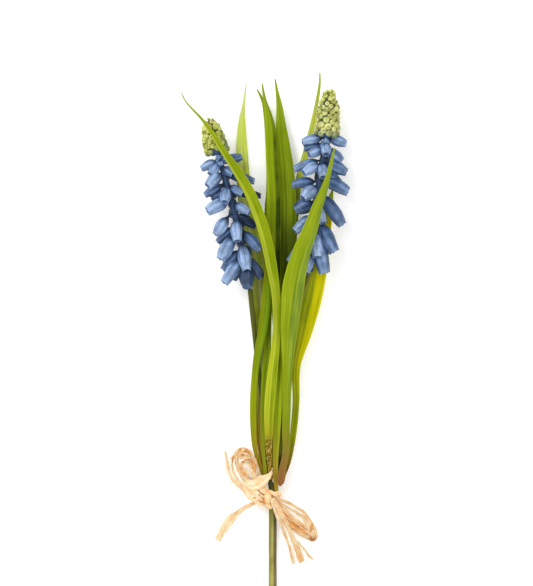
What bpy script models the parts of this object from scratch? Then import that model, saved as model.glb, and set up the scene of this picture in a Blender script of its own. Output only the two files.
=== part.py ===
"""Grape hyacinth: a cut bunch of two flower spikes and nine leaves, tied with a raffia bow.

It lies on its back, +Z up, with the flowers towards +Y. The origin is on the resting surface,
under the knot of the tie. Sizes and places are in millimetres and are scaled to metres when
each mesh is made.
"""

import math
import random

import bmesh
import bpy
import numpy as np
from mathutils import Matrix, Vector

MM = 0.001
GAP = 0.3  # left between touching pieces
HEAD_GAP = 0.42  # along the axis, between a head's florets and its buds
UP = Vector((0, 0, 1))

# Driving dimensions
STALK_RADIUS = 1.2
STALK_SIDES = 8
RACHIS_RADIUS = 1.1
BLADE_THICKNESS = 0.75
BLADE_ROWS = 21
RAFFIA_THICKNESS = 0.65
RAFFIA_ROWS = 13
BELL_SIDES = 6
TIE_INNER_RADIUS = STALK_RADIUS + GAP + 0.06
TIE_THICKNESS = 0.85
TIE_HALF_LENGTH = 3.6
TIE_STEPS = 8
TIE_FLAT_BELOW = 0.5
KNOT_LUMPS = [
    ((-1.8, -0.2, 7.8), (1.9, 3.9, 1.4), 8),
    ((1.9, 2.0, 7.1), (2.2, 1.6, 1.2), 20),
]
BEAD_RADIUS = 1.95
BEAD_SPACING = 3.6
GOLDEN_ANGLE = math.radians(137.5)
RANDOM_SEED = 11

# Where along Y each stalk has a ring of points: few where it is straight
STALK_RINGS = [-65, -45, -25, -5, 4.5, 8, 12, 16, 22, 30, 38, 46, 54, 62, 70, 78, 86, 94]

# Stalks: x, y, z from the cut end to the foot of the flower head
STALK_LEFT = [
    (-0.3, -65, 4.2),
    (-0.3, -25, 4.7),
    (-0.3, -5, 4.8),
    (-0.3, 3.8, 4.8),
    (-0.35, 5.2, 4.8),
    (-1.2, 10, 4.9),
    (-2.4, 20, 5.2),
    (-4.6, 45, 6.7),
    (-7.4, 71, 9.0),
    (-9.9, 95.0, 11.6),
]
STALK_RIGHT = [
    (1.15, -65, 1.7),
    (1.15, -25, 2.2),
    (1.15, -5, 2.4),
    (1.15, 3.8, 2.4),
    (1.2, 5.2, 2.45),
    (2.2, 10, 3.3),
    (3.5, 20, 4.6),
    (4.6, 45, 7.2),
    (9.4, 67, 9.5),
    (16.8, 101.7, 12.1),
]

# Axis of each flower head from foot to tip, and the share of it that carries florets
AXIS_LEFT = [
    (-9.95, 95.4, 11.65),
    (-10.4, 98, 11.9),
    (-13.2, 113, 11.6),
    (-17.8, 132, 10.8),
    (-22.1, 148, 10.0),
    (-24.9, 157, 9.5),
    (-28.3, 171.0, 8.9),
]
AXIS_RIGHT = [
    (16.95, 102.3, 12.1),
    (18.9, 121, 11.7),
    (19.8, 133, 11.2),
    (22.5, 152, 10.3),
    (24.3, 163, 9.8),
    (26.0, 184.5, 9.2),
]
BUDS_START_LEFT = 155.2
BUDS_START_RIGHT = 162.6
BUD_CONE_RADIUS_LEFT = 4.0
BUD_CONE_RADIUS_RIGHT = 4.5

# Bell along its length: share of the length, share of the half width
BELL_PROFILE = [(0.0, 0.22), (0.32, 0.9), (0.72, 1.05), (1.0, 0.74)]
BELL_WIDTH_SCALE = 1.12

# Florets: y of the root on the axis, then x and y of the mouth, its height over the root, and the width
FLORETS_LEFT = [
    (152.6, -31.7, 148.8, 1.0, 3.8),
    (151.8, -18.7, 153.6, 1.5, 3.4),
    (151.6, -13.6, 154.2, -1.5, 3.6),
    (152.0, -27.6, 146.3, 3.4, 4.4),
    (149.5, -17.4, 146.4, 2.0, 3.8),
    (147.5, -28.8, 141.0, 3.6, 4.4),
    (145.5, -7.9, 143.2, -0.8, 3.4),
    (142.5, -30.2, 137.0, -0.6, 3.6),
    (141.5, -13.2, 137.4, 1.9, 3.9),
    (141.5, -21.2, 133.9, 5.0, 4.2),
    (138.5, -27.0, 135.5, -2.2, 3.4),
    (137.5, -5.1, 136.7, -1.8, 3.2),
    (135.0, -29.0, 129.8, 2.4, 5.0),
    (134.0, -10.2, 129.2, 1.6, 4.1),
    (131.0, -25.4, 119.9, 2.2, 5.0),
    (129.0, -7.4, 122.9, -1.2, 3.8),
    (127.0, -15.5, 116.9, 4.6, 5.0),
    (123.5, -24.4, 115.9, -1.6, 3.8),
    (122.5, -5.5, 112.3, 1.2, 4.9),
    (121.5, -22.8, 108.4, 2.4, 5.6),
    (115.5, -11.6, 103.7, 5.6, 5.2),
    (111.0, -4.6, 99.9, -1.6, 4.5),
    (109.5, -21.4, 97.5, 2.0, 5.1),
    (110.0, -17.2, 99.1, -2.4, 3.8),
    (113.5, -22.0, 103.5, -1.4, 3.8),
    (107.0, -11.0, 95.5, 4.2, 5.6),
]
FLORETS_RIGHT = [
    (160.8, 13.6, 160.6, 1.6, 3.8),
    (159.0, 14.6, 157.6, -1.4, 3.6),
    (160.6, 24.3, 155.2, 4.2, 4.4),
    (160.6, 33.0, 159.4, 0.6, 4.0),
    (158.0, 16.6, 155.0, 2.6, 4.2),
    (157.5, 31.2, 152.4, 0.2, 4.4),
    (153.0, 9.9, 148.6, 0.4, 3.6),
    (151.5, 14.2, 146.9, 3.0, 4.7),
    (152.0, 23.0, 145.0, 4.2, 4.4),
    (152.0, 33.4, 147.2, 1.0, 4.3),
    (147.5, 30.5, 142.8, -1.2, 4.0),
    (143.0, 8.8, 141.6, 0.2, 4.2),
    (144.5, 34.2, 138.6, 0.8, 4.7),
    (142.0, 13.9, 135.6, 2.6, 5.0),
    (138.5, 31.6, 123.6, 1.0, 5.5),
    (134.0, 10.6, 131.0, -0.4, 5.0),
    (133.5, 22.9, 124.4, 3.4, 3.8),
    (128.5, 10.3, 120.8, 2.0, 4.3),
    (126.5, 28.0, 111.5, 0.6, 5.6),
    (122.5, 20.4, 109.1, 4.0, 5.2),
    (117.5, 23.6, 102.2, 0.8, 5.0),
    (118.5, 7.6, 107.0, 0.4, 4.2),
    (112.0, 15.2, 102.0, 3.6, 4.0),
]

# Florets of the underside: spacing of their roots along the head, their turns from straight down
# in degrees, their lean back along the head, their width, longest reach and least height
UNDER_SPACING = 4.3
UNDER_TURNS = [-54, -6, 44]
UNDER_LEAN = 0.45
UNDER_WIDTH = 4.4
UNDER_REACH = 11.0
UNDER_LOWEST = 0.05
UNDER_CLEARANCE = 0.45  # over a leaf that is behind the head

# Leaves: x, y, z and width across, from the tied foot to the tip; then the fold of the two halves
LEAVES = {
    "leaf_front_left": (
        [
            (-0.45, 9.3, 7.1, 1.7),
            (-1.3, 20, 8.2, 2.4),
            (-1.4, 31, 9.1, 3.3),
            (-1.1, 43, 10.0, 3.7),
            (0.0, 56, 11.6, 3.6),
            (1.6, 70, 13.4, 3.7),
            (2.2, 82, 14.8, 3.6),
            (1.6, 94, 16.0, 4.0),
            (-0.5, 107, 16.9, 4.9),
            (-3.6, 121, 17.4, 5.1),
            (-7.4, 132, 17.5, 5.0),
            (-11.0, 140, 17.4, 4.6),
            (-16.2, 148.6, 17.1, 4.0),
            (-22.5, 157.5, 16.9, 3.1),
            (-27.9, 166.7, 16.2, 2.3),
            (-35.1, 175.5, 15.0, 1.5),
            (-40.8, 182.7, 13.6, 0.7),
        ],
        22,
    ),
    "leaf_front_right": (
        [
            (4.6, 9.3, 4.7, 1.6),
            (5.9, 20, 6.4, 2.6),
            (6.4, 31, 7.9, 2.9),
            (6.7, 43, 9.7, 2.9),
            (6.9, 56, 11.6, 3.4),
            (7.2, 67, 13.4, 5.8),
            (7.8, 78, 15.2, 7.7),
            (8.5, 86, 16.6, 8.7),
            (9.4, 95, 17.7, 9.7),
            (11.1, 104, 18.8, 9.0),
            (13.6, 113, 19.6, 8.0),
            (16.8, 121.5, 20.0, 7.0),
            (19.8, 132, 20.0, 5.2),
            (22.8, 139.5, 19.6, 3.4),
            (25.0, 145.4, 19.1, 2.3),
            (26.8, 152.6, 18.4, 1.5),
            (27.9, 158, 17.6, 0.7),
        ],
        26,
    ),
    "leaf_right_side": (
        [
            (4.6, 9.3, 2.9, 1.6),
            (7.2, 17, 3.9, 2.0),
            (8.9, 25, 4.8, 2.3),
            (10.1, 38, 5.8, 2.7),
            (11.2, 52, 6.2, 2.9),
            (11.6, 63, 6.1, 3.6),
            (13.2, 72, 5.6, 5.4),
            (15.7, 81, 4.9, 7.6),
            (17.8, 90, 4.1, 8.9),
            (19.6, 100.5, 3.2, 9.3),
            (21.4, 111.5, 2.4, 8.4),
            (23.7, 123.5, 1.8, 6.2),
            (25.7, 132.5, 1.6, 3.6),
            (27.2, 139.5, 1.8, 0.8),
        ],
        14,
    ),
    "leaf_behind_right_head": (
        [
            (2.6, 9.3, 1.4, 1.5),
            (4.6, 20, 2.2, 2.0),
            (6.2, 34, 2.6, 2.3),
            (7.6, 52, 2.4, 2.6),
            (8.4, 70, 2.0, 2.8),
            (8.8, 90, 1.7, 3.0),
            (9.4, 112, 1.5, 3.0),
            (10.8, 132, 1.4, 3.0),
            (12.8, 147.6, 1.5, 2.9),
            (15.2, 156.5, 1.8, 2.7),
            (18.0, 168.3, 2.8, 2.2),
            (20.1, 178.6, 3.9, 1.6),
            (21.5, 188.5, 4.9, 1.0),
            (21.5, 192.2, 5.3, 0.6),
        ],
        12,
    ),
    "leaf_behind_left_head": (
        [
            (-1.9, 9.3, 3.0, 1.5),
            (-4.7, 20, 3.4, 2.0),
            (-6.1, 31, 3.8, 2.2),
            (-6.4, 43, 3.8, 2.4),
            (-6.1, 56, 3.6, 3.1),
            (-5.5, 70, 3.3, 4.5),
            (-5.0, 82, 3.0, 6.3),
            (-5.2, 94.5, 2.6, 7.2),
            (-6.8, 107, 2.2, 7.4),
            (-9.2, 119, 1.9, 7.4),
            (-11.5, 131.5, 1.6, 7.0),
            (-12.9, 145, 1.5, 5.9),
            (-13.6, 157.5, 1.7, 5.1),
            (-13.5, 171, 2.6, 3.0),
            (-12.8, 178.5, 3.4, 1.3),
            (-12.1, 185.8, 4.2, 0.6),
        ],
        12,
    ),
    "leaf_left_side": (
        [
            (-3.6, 10.6, 5.1, 1.5),
            (-5.6, 16, 5.5, 1.9),
            (-7.7, 24, 6.2, 2.2),
            (-8.4, 34, 7.1, 2.4),
            (-8.4, 45, 8.6, 2.6),
            (-7.8, 55, 10.3, 2.9),
            (-6.4, 66.5, 11.6, 3.3),
            (-4.3, 76.5, 12.3, 3.9),
            (-3.2, 85.5, 12.8, 4.0),
            (-2.4, 94.5, 13.3, 3.6),
            (-1.7, 104, 13.9, 3.0),
            (-1.9, 113, 14.5, 2.0),
            (-3.4, 121.5, 14.9, 0.7),
        ],
        16,
    ),
    "leaf_centre_thin": (
        [
            (-2.5, 9.3, 7.0, 1.5),
            (-3.7, 20, 7.7, 1.7),
            (-4.2, 31, 8.5, 1.9),
            (-4.1, 45, 9.3, 2.0),
            (-3.5, 56, 9.6, 2.3),
            (-2.5, 67.5, 9.3, 2.6),
            (-1.8, 79, 8.6, 3.0),
            (-1.5, 90, 7.6, 3.2),
            (-1.6, 103.5, 6.2, 3.4),
            (-1.8, 117, 4.9, 3.6),
            (-1.5, 129.5, 3.8, 3.8),
            (-0.8, 139.5, 3.2, 3.7),
            (-0.8, 151, 2.8, 3.7),
            (-1.3, 163.8, 2.6, 3.8),
            (-2.5, 173.2, 2.8, 2.7),
            (-3.9, 179.1, 3.2, 1.7),
            (-5.4, 182.3, 3.5, 1.1),
            (-6.8, 184.7, 3.8, 0.6),
        ],
        10,
    ),
    "leaf_centre_left": (
        [
            (2.1, 9.3, 5.6, 1.6),
            (1.9, 20, 7.0, 2.4),
            (2.4, 31, 8.0, 2.9),
            (2.8, 45, 9.1, 3.4),
            (3.1, 56, 9.5, 3.5),
            (2.9, 68, 9.6, 3.8),
            (2.2, 83, 9.7, 4.4),
            (1.5, 97, 9.3, 5.0),
            (1.0, 110, 8.8, 5.6),
            (0.7, 121.5, 8.2, 6.0),
            (0.5, 132.8, 7.6, 5.9),
            (0.3, 141, 7.2, 5.3),
            (-0.1, 151, 6.8, 5.2),
            (-0.4, 160, 6.5, 5.2),
            (-0.8, 167.5, 6.4, 4.8),
            (-1.9, 174.2, 6.4, 3.0),
            (-2.9, 178.4, 6.6, 1.8),
            (-3.9, 183.6, 6.9, 1.1),
            (-4.4, 187.3, 7.1, 0.6),
        ],
        20,
    ),
    "leaf_centre_right": (
        [
            (-0.25, 9.3, 3.1, 1.1),
            (0.3, 20, 3.9, 1.8),
            (0.7, 31, 4.6, 2.2),
            (1.2, 45, 5.3, 2.6),
            (2.2, 58, 5.8, 3.2),
            (3.6, 72, 6.0, 4.2),
            (4.9, 85, 5.8, 5.2),
            (6.0, 98, 5.4, 6.2),
            (6.8, 110, 4.9, 6.9),
            (7.2, 121.5, 4.6, 7.2),
            (7.3, 130.5, 4.3, 7.3),
            (7.0, 139.5, 4.1, 7.3),
            (6.0, 151.7, 3.9, 6.9),
            (5.0, 160, 3.9, 6.0),
            (3.9, 170, 4.0, 4.3),
            (3.3, 177.3, 4.3, 2.8),
            (2.3, 183.6, 4.8, 1.4),
            (1.4, 189.3, 5.3, 0.6),
        ],
        18,
    ),
}

LEAVES_BEHIND = [
    "leaf_behind_left_head",
    "leaf_behind_right_head",
    "leaf_right_side",
    "leaf_centre_right",
    "leaf_centre_left",
    "leaf_centre_thin",
]

# Raffia strips, from the knot outwards: x, y, z and width
BOW_LEFT = {
    "fan": [
        (-4.5, 1.2, 7.0, 4.6),
        (-7.2, 2.8, 6.2, 6.4),
        (-10.4, 4.8, 5.6, 6.6),
        (-12.6, 8.0, 5.4, 4.0),
    ],
    "outer_loop": [
        (-4.6, -0.4, 6.2, 2.4),
        (-9.9, 2.6, 4.9, 2.4),
        (-13.8, 9.0, 4.7, 2.4),
        (-16.4, 15.3, 5.3, 2.3),
        (-17.0, 19.6, 6.2, 2.4),
        (-15.2, 22.6, 7.6, 2.4),
        (-12.0, 23.0, 8.8, 2.4),
        (-9.4, 20.8, 9.0, 2.4),
        (-9.6, 17.8, 8.4, 2.0),
        (-11.6, 16.2, 7.8, 1.6),
    ],
    "inner_loop": [
        (-4.6, 3.4, 6.6, 2.4),
        (-9.0, 6.3, 5.8, 2.4),
        (-12.4, 11.4, 5.8, 2.4),
        (-14.4, 16.2, 6.2, 2.2),
        (-13.9, 19.4, 7.6, 2.2),
        (-11.3, 20.0, 9.0, 2.4),
        (-8.6, 17.4, 9.4, 2.6),
        (-7.2, 13.2, 9.0, 2.8),
        (-6.2, 9.0, 8.6, 2.6),
        (-5.0, 4.2, 7.9, 2.4),
    ],
    "pointed_end": [
        (-9.4, 5.2, 6.6, 3.4),
        (-6.0, 7.2, 8.2, 4.2),
        (-3.2, 9.9, 9.4, 3.4),
        (-1.4, 12.2, 9.8, 2.0),
        (0.0, 14.4, 9.8, 0.8),
    ],
    "thin_end": [
        (-10.0, 4.0, 5.0, 1.6),
        (-14.9, 6.9, 4.4, 1.6),
        (-18.3, 10.3, 3.6, 1.6),
        (-19.6, 13.2, 3.2, 1.6),
        (-20.6, 18.6, 3.2, 1.6),
        (-21.2, 22.4, 3.6, 1.8),
    ],
    "tail": [
        (-4.6, -1.4, 5.6, 2.0),
        (-7.8, -1.0, 4.8, 2.0),
        (-12.0, -2.3, 3.6, 2.2),
        (-14.9, -4.0, 2.8, 2.6),
        (-18.3, -7.3, 2.0, 3.0),
        (-21.2, -11.6, 1.5, 3.0),
        (-23.3, -14.9, 1.3, 3.2),
        (-24.3, -17.6, 1.3, 4.2),
    ],
}
BOW_RIGHT = {
    "back_loop": [
        (3.9, 0.0, 8.6, 2.0),
        (6.0, -1.3, 7.9, 1.8),
        (9.5, -3.2, 7.2, 1.6),
        (14.2, -6.8, 6.8, 2.0),
        (17.6, -10.8, 6.4, 2.6),
        (19.6, -14.2, 5.6, 2.4),
        (19.7, -16.8, 4.6, 2.0),
        (18.0, -18.2, 3.6, 2.0),
        (15.4, -17.4, 3.0, 2.6),
        (12.5, -14.9, 3.0, 3.2),
        (9.5, -12.0, 3.4, 3.4),
        (6.4, -7.8, 4.8, 2.8),
        (3.6, -4.2, 6.6, 2.2),
    ],
    "front_loop": [
        (3.2, -1.2, 9.3, 2.4),
        (5.0, -2.8, 8.7, 2.8),
        (8.5, -6.0, 7.8, 3.6),
        (12.5, -9.8, 7.0, 4.0),
        (16.0, -13.4, 6.0, 4.0),
        (18.2, -16.6, 4.8, 3.0),
    ],
    "wide_tail": [
        (1.3, -2.2, 9.8, 3.0),
        (1.9, -4.8, 8.9, 4.2),
        (3.4, -7.6, 7.4, 4.6),
        (5.9, -11.3, 5.8, 4.0),
        (9.0, -16.7, 3.8, 3.2),
        (11.7, -22.0, 2.2, 2.8),
        (14.0, -27.9, 1.3, 3.0),
    ],
    "straight_tail": [
        (2.6, -6.6, 7.6, 1.8),
        (5.2, -13.2, 5.2, 1.6),
        (7.4, -20.2, 3.0, 1.6),
        (9.8, -28.7, 1.3, 2.4),
    ],
    "thin_tail": [
        (9.6, -17.6, 3.4, 1.4),
        (14.2, -22.9, 2.0, 0.9),
        (18.2, -26.2, 1.4, 0.9),
    ],
}

# Colours, roughness
GREEN_STALK = (0.16, 0.17, 0.045)
LEAF_GREEN = (0.26, 0.36, 0.02)
LEAF_PALE = (0.42, 0.52, 0.06)
LEAF_OLIVE = (0.16, 0.24, 0.02)
FLOWER_BLUE = (0.13, 0.21, 0.46)
BUD_YELLOW = (0.55, 0.58, 0.16)
RAFFIA = (0.9, 0.62, 0.34)
LEAF_COLOURS = {
    "leaf_front_left": LEAF_GREEN,
    "leaf_front_right": LEAF_GREEN,
    "leaf_right_side": LEAF_PALE,
    "leaf_behind_right_head": LEAF_GREEN,
    "leaf_behind_left_head": LEAF_PALE,
    "leaf_left_side": LEAF_GREEN,
    "leaf_centre_thin": LEAF_OLIVE,
    "leaf_centre_left": LEAF_OLIVE,
    "leaf_centre_right": LEAF_OLIVE,
}


def clear_scene():
    for found in list(bpy.data.objects):
        bpy.data.objects.remove(found, do_unlink=True)


def principled(name, colour, roughness):
    material = bpy.data.materials.new(name)
    material.use_nodes = True
    shader = material.node_tree.nodes["Principled BSDF"]
    shader.inputs["Base Color"].default_value = (*colour, 1)
    shader.inputs["Roughness"].default_value = roughness
    shader.inputs["Metallic"].default_value = 0
    return material


def new_object(name, bm, material):
    """An object of this mesh, drawn in millimetres and scaled to metres."""
    bmesh.ops.transform(bm, matrix=Matrix.Scale(MM, 4), verts=bm.verts)
    bmesh.ops.recalc_face_normals(bm, faces=bm.faces)
    mesh = bpy.data.meshes.new(name)
    bm.to_mesh(mesh)
    bm.free()
    mesh.materials.append(material)
    mesh.shade_smooth()
    mesh.set_sharp_from_angle(angle=math.radians(40))
    obj = bpy.data.objects.new(name, mesh)
    bpy.context.scene.collection.objects.link(obj)
    return obj


def through(rows, count):
    """That many rows on a smooth curve through the given rows, evenly spaced along it."""
    rows = np.array(rows, float)
    steps = np.linalg.norm(np.diff(rows[:, :3], axis=0), axis=1)
    along = np.concatenate([[0], np.cumsum(steps)])
    slopes = np.gradient(rows, along, axis=0)
    wanted = np.linspace(0, along[-1], count)
    index = np.clip(np.searchsorted(along, wanted, side="right") - 1, 0, len(along) - 2)
    span = along[index + 1] - along[index]
    t = ((wanted - along[index]) / span)[:, None]
    span = span[:, None]
    start, end = rows[index], rows[index + 1]
    return (
        (2 * t**3 - 3 * t**2 + 1) * start
        + (t**3 - 2 * t**2 + t) * span * slopes[index]
        + (3 * t**2 - 2 * t**3) * end
        + (t**3 - t**2) * span * slopes[index + 1]
    )


def directions(points):
    """Unit vectors along the curve at each of its points."""
    found = np.gradient(np.array(points), axis=0)
    return found / np.linalg.norm(found, axis=1)[:, None]


def at_y(route, y):
    """The point of a route at this y, as a Vector."""
    curve = through(route, 200)
    return Vector([float(np.interp(y, curve[:, 1], curve[:, part])) for part in range(3)])


def loft(bm, rings):
    """Joins closed rings of points into one closed skin with flat ends."""
    loops = [[bm.verts.new(point) for point in ring] for ring in rings]
    size = len(loops[0])
    for one, two in zip(loops, loops[1:]):
        for i in range(size):
            j = (i + 1) % size
            bm.faces.new((one[i], one[j], two[j]))
            bm.faces.new((one[i], two[j], two[i]))
    bm.faces.new(reversed(loops[0]))
    bm.faces.new(loops[-1])


def ribbon(rows, count, thickness, fold):
    """A thin strip, as a bmesh; a fold gives it a keel. Its two faces have the same triangles."""
    samples = through(rows, count)
    tilt = math.tan(math.radians(fold))
    depth = thickness / math.cos(math.radians(fold))
    rings = []
    for sample, along in zip(samples, directions(samples[:, :3])):
        along = Vector(along)
        side = along.cross(UP).normalized()
        normal = side.cross(along)
        keel = Vector(sample[:3])
        half = side * sample[3] / 2
        rise = normal * sample[3] / 2 * tilt
        top = [keel - half + rise, keel + half + rise]
        if fold:
            top.insert(1, keel)
        rings.append(top + [point - normal * depth for point in reversed(top)])
    bm = bmesh.new()
    loft(bm, rings)
    return bm


def fused(name, bodies, material):
    """One solid: the union of closed bodies, each a mesh of its own, in millimetres."""
    helpers = bpy.data.collections.new(name + "_bodies")
    objects = []
    for number, bm in enumerate(bodies):
        obj = new_object(f"{name}_{number}", bm, material)
        bpy.context.scene.collection.objects.unlink(obj)
        objects.append(obj)
    base = objects[0]
    bpy.context.scene.collection.objects.link(base)
    for obj in objects[1:]:
        helpers.objects.link(obj)
    union = base.modifiers.new("union", "BOOLEAN")
    union.operation = "UNION"
    union.operand_type = "COLLECTION"
    union.collection = helpers
    union.solver = "EXACT"
    graph = bpy.context.evaluated_depsgraph_get()
    mesh = bpy.data.meshes.new_from_object(base.evaluated_get(graph))
    mesh.name = name
    for obj in objects:
        bpy.data.objects.remove(obj, do_unlink=True)
    bpy.data.collections.remove(helpers)
    mesh.set_sharp_from_angle(angle=math.radians(40))
    joined = bpy.data.objects.new(name, mesh)
    bpy.context.scene.collection.objects.link(joined)
    return joined


def stalk(name, route, material):
    """A round green stalk with flat ends, as a bevelled curve."""
    curve = bpy.data.curves.new(name, "CURVE")
    curve.dimensions = "3D"
    curve.bevel_depth = STALK_RADIUS * MM
    curve.bevel_resolution = STALK_SIDES // 4
    curve.use_fill_caps = True
    spline = curve.splines.new("POLY")
    end = route[-1][1]
    rings = [y for y in STALK_RINGS if y < end - 2] + [end]
    spline.points.add(len(rings) - 1)
    for point, y in zip(spline.points, rings):
        point.co = (*(at_y(route, y) * MM), 1)
    curve.materials.append(material)
    obj = bpy.data.objects.new(name, curve)
    bpy.context.scene.collection.objects.link(obj)
    return obj


def tube(points, radii, sides, turn=0.0):
    """A closed body of round rings along these points, as a bmesh."""
    bm = bmesh.new()
    rings = []
    for point, along, radius in zip(points, directions([tuple(p) for p in points]), radii):
        turned = Vector(along).to_track_quat("Z", "Y").to_matrix()
        rings.append(
            [
                Vector(point)
                + turned
                @ Vector(
                    (
                        radius * math.cos(turn + math.tau * i / sides),
                        radius * math.sin(turn + math.tau * i / sides),
                        0,
                    )
                )
                for i in range(sides)
            ]
        )
    loft(bm, rings)
    return bm


def bell(root, mouth, width, turn):
    """One faceted bell floret, narrow at its root and cut square at its mouth."""
    points = [root.lerp(mouth, share) for share, _ in BELL_PROFILE]
    radii = [max(0.5, share * BELL_WIDTH_SCALE * width / 2) for _, share in BELL_PROFILE]
    return tube(points, radii, BELL_SIDES, turn)


def height_of_leaves(x, y, margin):
    """The height that clears every leaf whose blade passes within this margin of x, y."""
    height = UNDER_LOWEST
    for name in LEAVES_BEHIND:
        rows, fold = LEAVES[name]
        samples = through(rows, 60)
        nearest = samples[np.argmin(np.hypot(samples[:, 0] - x, samples[:, 1] - y))]
        if math.hypot(nearest[0] - x, nearest[1] - y) < nearest[3] / 2 + margin:
            edge = nearest[2] + nearest[3] / 2 * math.tan(math.radians(fold))
            height = max(height, edge + UNDER_CLEARANCE)
    return height


def under_florets(axis, first_y, last_y):
    """Bells on the underside of a head, down to the resting surface or to a leaf that is there."""
    bells = []
    y = first_y
    while y < last_y:
        root = at_y(axis, y)
        forward = (at_y(axis, y + 2) - root).normalized()
        side = forward.cross(UP).normalized()
        angle = math.radians(UNDER_TURNS[len(bells) % len(UNDER_TURNS)])
        out = side * math.sin(angle) - UP * math.cos(angle)
        slant = (out - forward * UNDER_LEAN).normalized()
        rim = BELL_PROFILE[-1][1] * BELL_WIDTH_SCALE * UNDER_WIDTH / 2
        below = rim * math.sqrt(1 - slant.z**2)
        reach = min(UNDER_REACH, (root.z - UNDER_LOWEST - below) / -slant.z)
        for _ in range(3):
            mouth = root + slant * reach
            lowest = height_of_leaves(mouth.x, mouth.y, UNDER_WIDTH * 0.8)
            reach = min(reach, (root.z - lowest - below) / -slant.z)
        bells.append((root, root + slant * reach, UNDER_WIDTH, 0.0))
        y += UNDER_SPACING
    return bells


def florets(name, axis, rows, first_y, last_y, material):
    """A flower head: its rachis and all its bells, as one solid."""
    ys = np.linspace(axis[0][1], last_y, 9)
    bodies = [tube([at_y(axis, y) for y in ys], [RACHIS_RADIUS] * len(ys), BELL_SIDES)]
    for y, mouth_x, mouth_y, lift, width in rows:
        root = at_y(axis, y)
        mouth = Vector((mouth_x, mouth_y, root.z + lift))
        bodies.append(bell(root, mouth, width, 0.25 * y))
    for root, mouth, width, turn in under_florets(axis, first_y, last_y - UNDER_SPACING):
        bodies.append(bell(root, mouth, width, turn))
    return fused(name, bodies, material)


def buds(name, axis, start_y, widest, seed, material):
    """The cone of round buds on the tip of a head, standing out of a slim core."""
    draw = random.Random(seed)
    tip = at_y(axis, axis[-1][1])
    foot = at_y(axis, start_y)
    span = tip - foot
    length = span.length
    to_axis = span.to_track_quat("Z", "Y").to_matrix()

    def radius(share):
        """Distance of the bud centres from the axis, at this share of the cone's length."""
        return widest * min(1.0, 0.86 + 1.2 * share) * math.sqrt(max(0.0, 1 - share**2.6))

    shares = [0, 0.12, 0.35, 0.6, 0.8, 0.93]
    core = tube(
        [foot + span * share for share in shares],
        [max(0.8, radius(share) - 0.35) for share in shares],
        8,
    )
    bodies = [core]
    share = 0.55 * BEAD_SPACING / length
    number = 0
    while share < 1:
        around = max(radius(share), 0.5)
        place = to_axis @ Vector(
            (
                around * math.cos(number * GOLDEN_ANGLE),
                around * math.sin(number * GOLDEN_ANGLE),
                share * length,
            )
        )
        bead = bmesh.new()
        bmesh.ops.create_icosphere(
            bead,
            subdivisions=1,
            radius=BEAD_RADIUS * (1.04 - 0.25 * share) * draw.uniform(0.94, 1.06),
            matrix=Matrix.Translation(foot + place) @ Matrix.Rotation(number, 4, "Y"),
        )
        bodies.append(bead)
        share += BEAD_SPACING**2 * 0.86 / (math.tau * around) / length
        number += 1
    return fused(name, bodies, material)


def leaf(name, rows, fold, material):
    """One long leaf, folded along its midrib."""
    return new_object(name, ribbon(rows, BLADE_ROWS, BLADE_THICKNESS, fold), material)


def bow(name, strips, material):
    """The loops and loose ends on one side of the knot, as one solid."""
    bodies = [ribbon(rows, RAFFIA_ROWS, RAFFIA_THICKNESS, 0) for rows in strips.values()]
    return fused(name, bodies, material)


def raffia_tie(material):
    """The turn of raffia round both stalks, with its knot on top, and a flat spot under it."""
    high, low = Vector((-0.3, 0, 4.8)), Vector((1.15, 0, 2.4))
    tilt = math.atan2(high.z - low.z, high.x - low.x)

    def outline(radius):
        """Half a circle round each stalk, joined by straight runs, with the lowest part flat."""
        points = []
        for centre, start in ((high, tilt - math.pi / 2), (low, tilt + math.pi / 2)):
            for i in range(TIE_STEPS + 1):
                angle = start + math.pi * i / TIE_STEPS
                x, z = centre.x + radius * math.cos(angle), centre.z + radius * math.sin(angle)
                points.append((x, 0.0 if z < TIE_FLAT_BELOW else z))
        return points

    bm = bmesh.new()
    loops = []
    for y in (-TIE_HALF_LENGTH, TIE_HALF_LENGTH):
        for radius in (TIE_INNER_RADIUS + TIE_THICKNESS, TIE_INNER_RADIUS):
            loops.append([bm.verts.new((x, y, z)) for x, z in outline(radius)])
    outer_low, inner_low, outer_high, inner_high = loops
    around = [outer_low, outer_high, inner_high, inner_low, outer_low]
    for first, second in zip(around, around[1:]):
        for i in range(len(first)):
            j = (i + 1) % len(first)
            bm.faces.new((first[i], first[j], second[j], second[i]))
    bodies = [bm]
    for centre, radii, turn in KNOT_LUMPS:
        lump = bmesh.new()
        bmesh.ops.create_icosphere(lump, subdivisions=2, radius=1)
        place = Matrix.Translation(centre) @ Matrix.Rotation(math.radians(turn), 4, "Z")
        bmesh.ops.transform(lump, matrix=place @ Matrix.Diagonal((*radii, 1)), verts=lump.verts)
        bodies.append(lump)
    return fused("raffia_tie", bodies, material)


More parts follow.
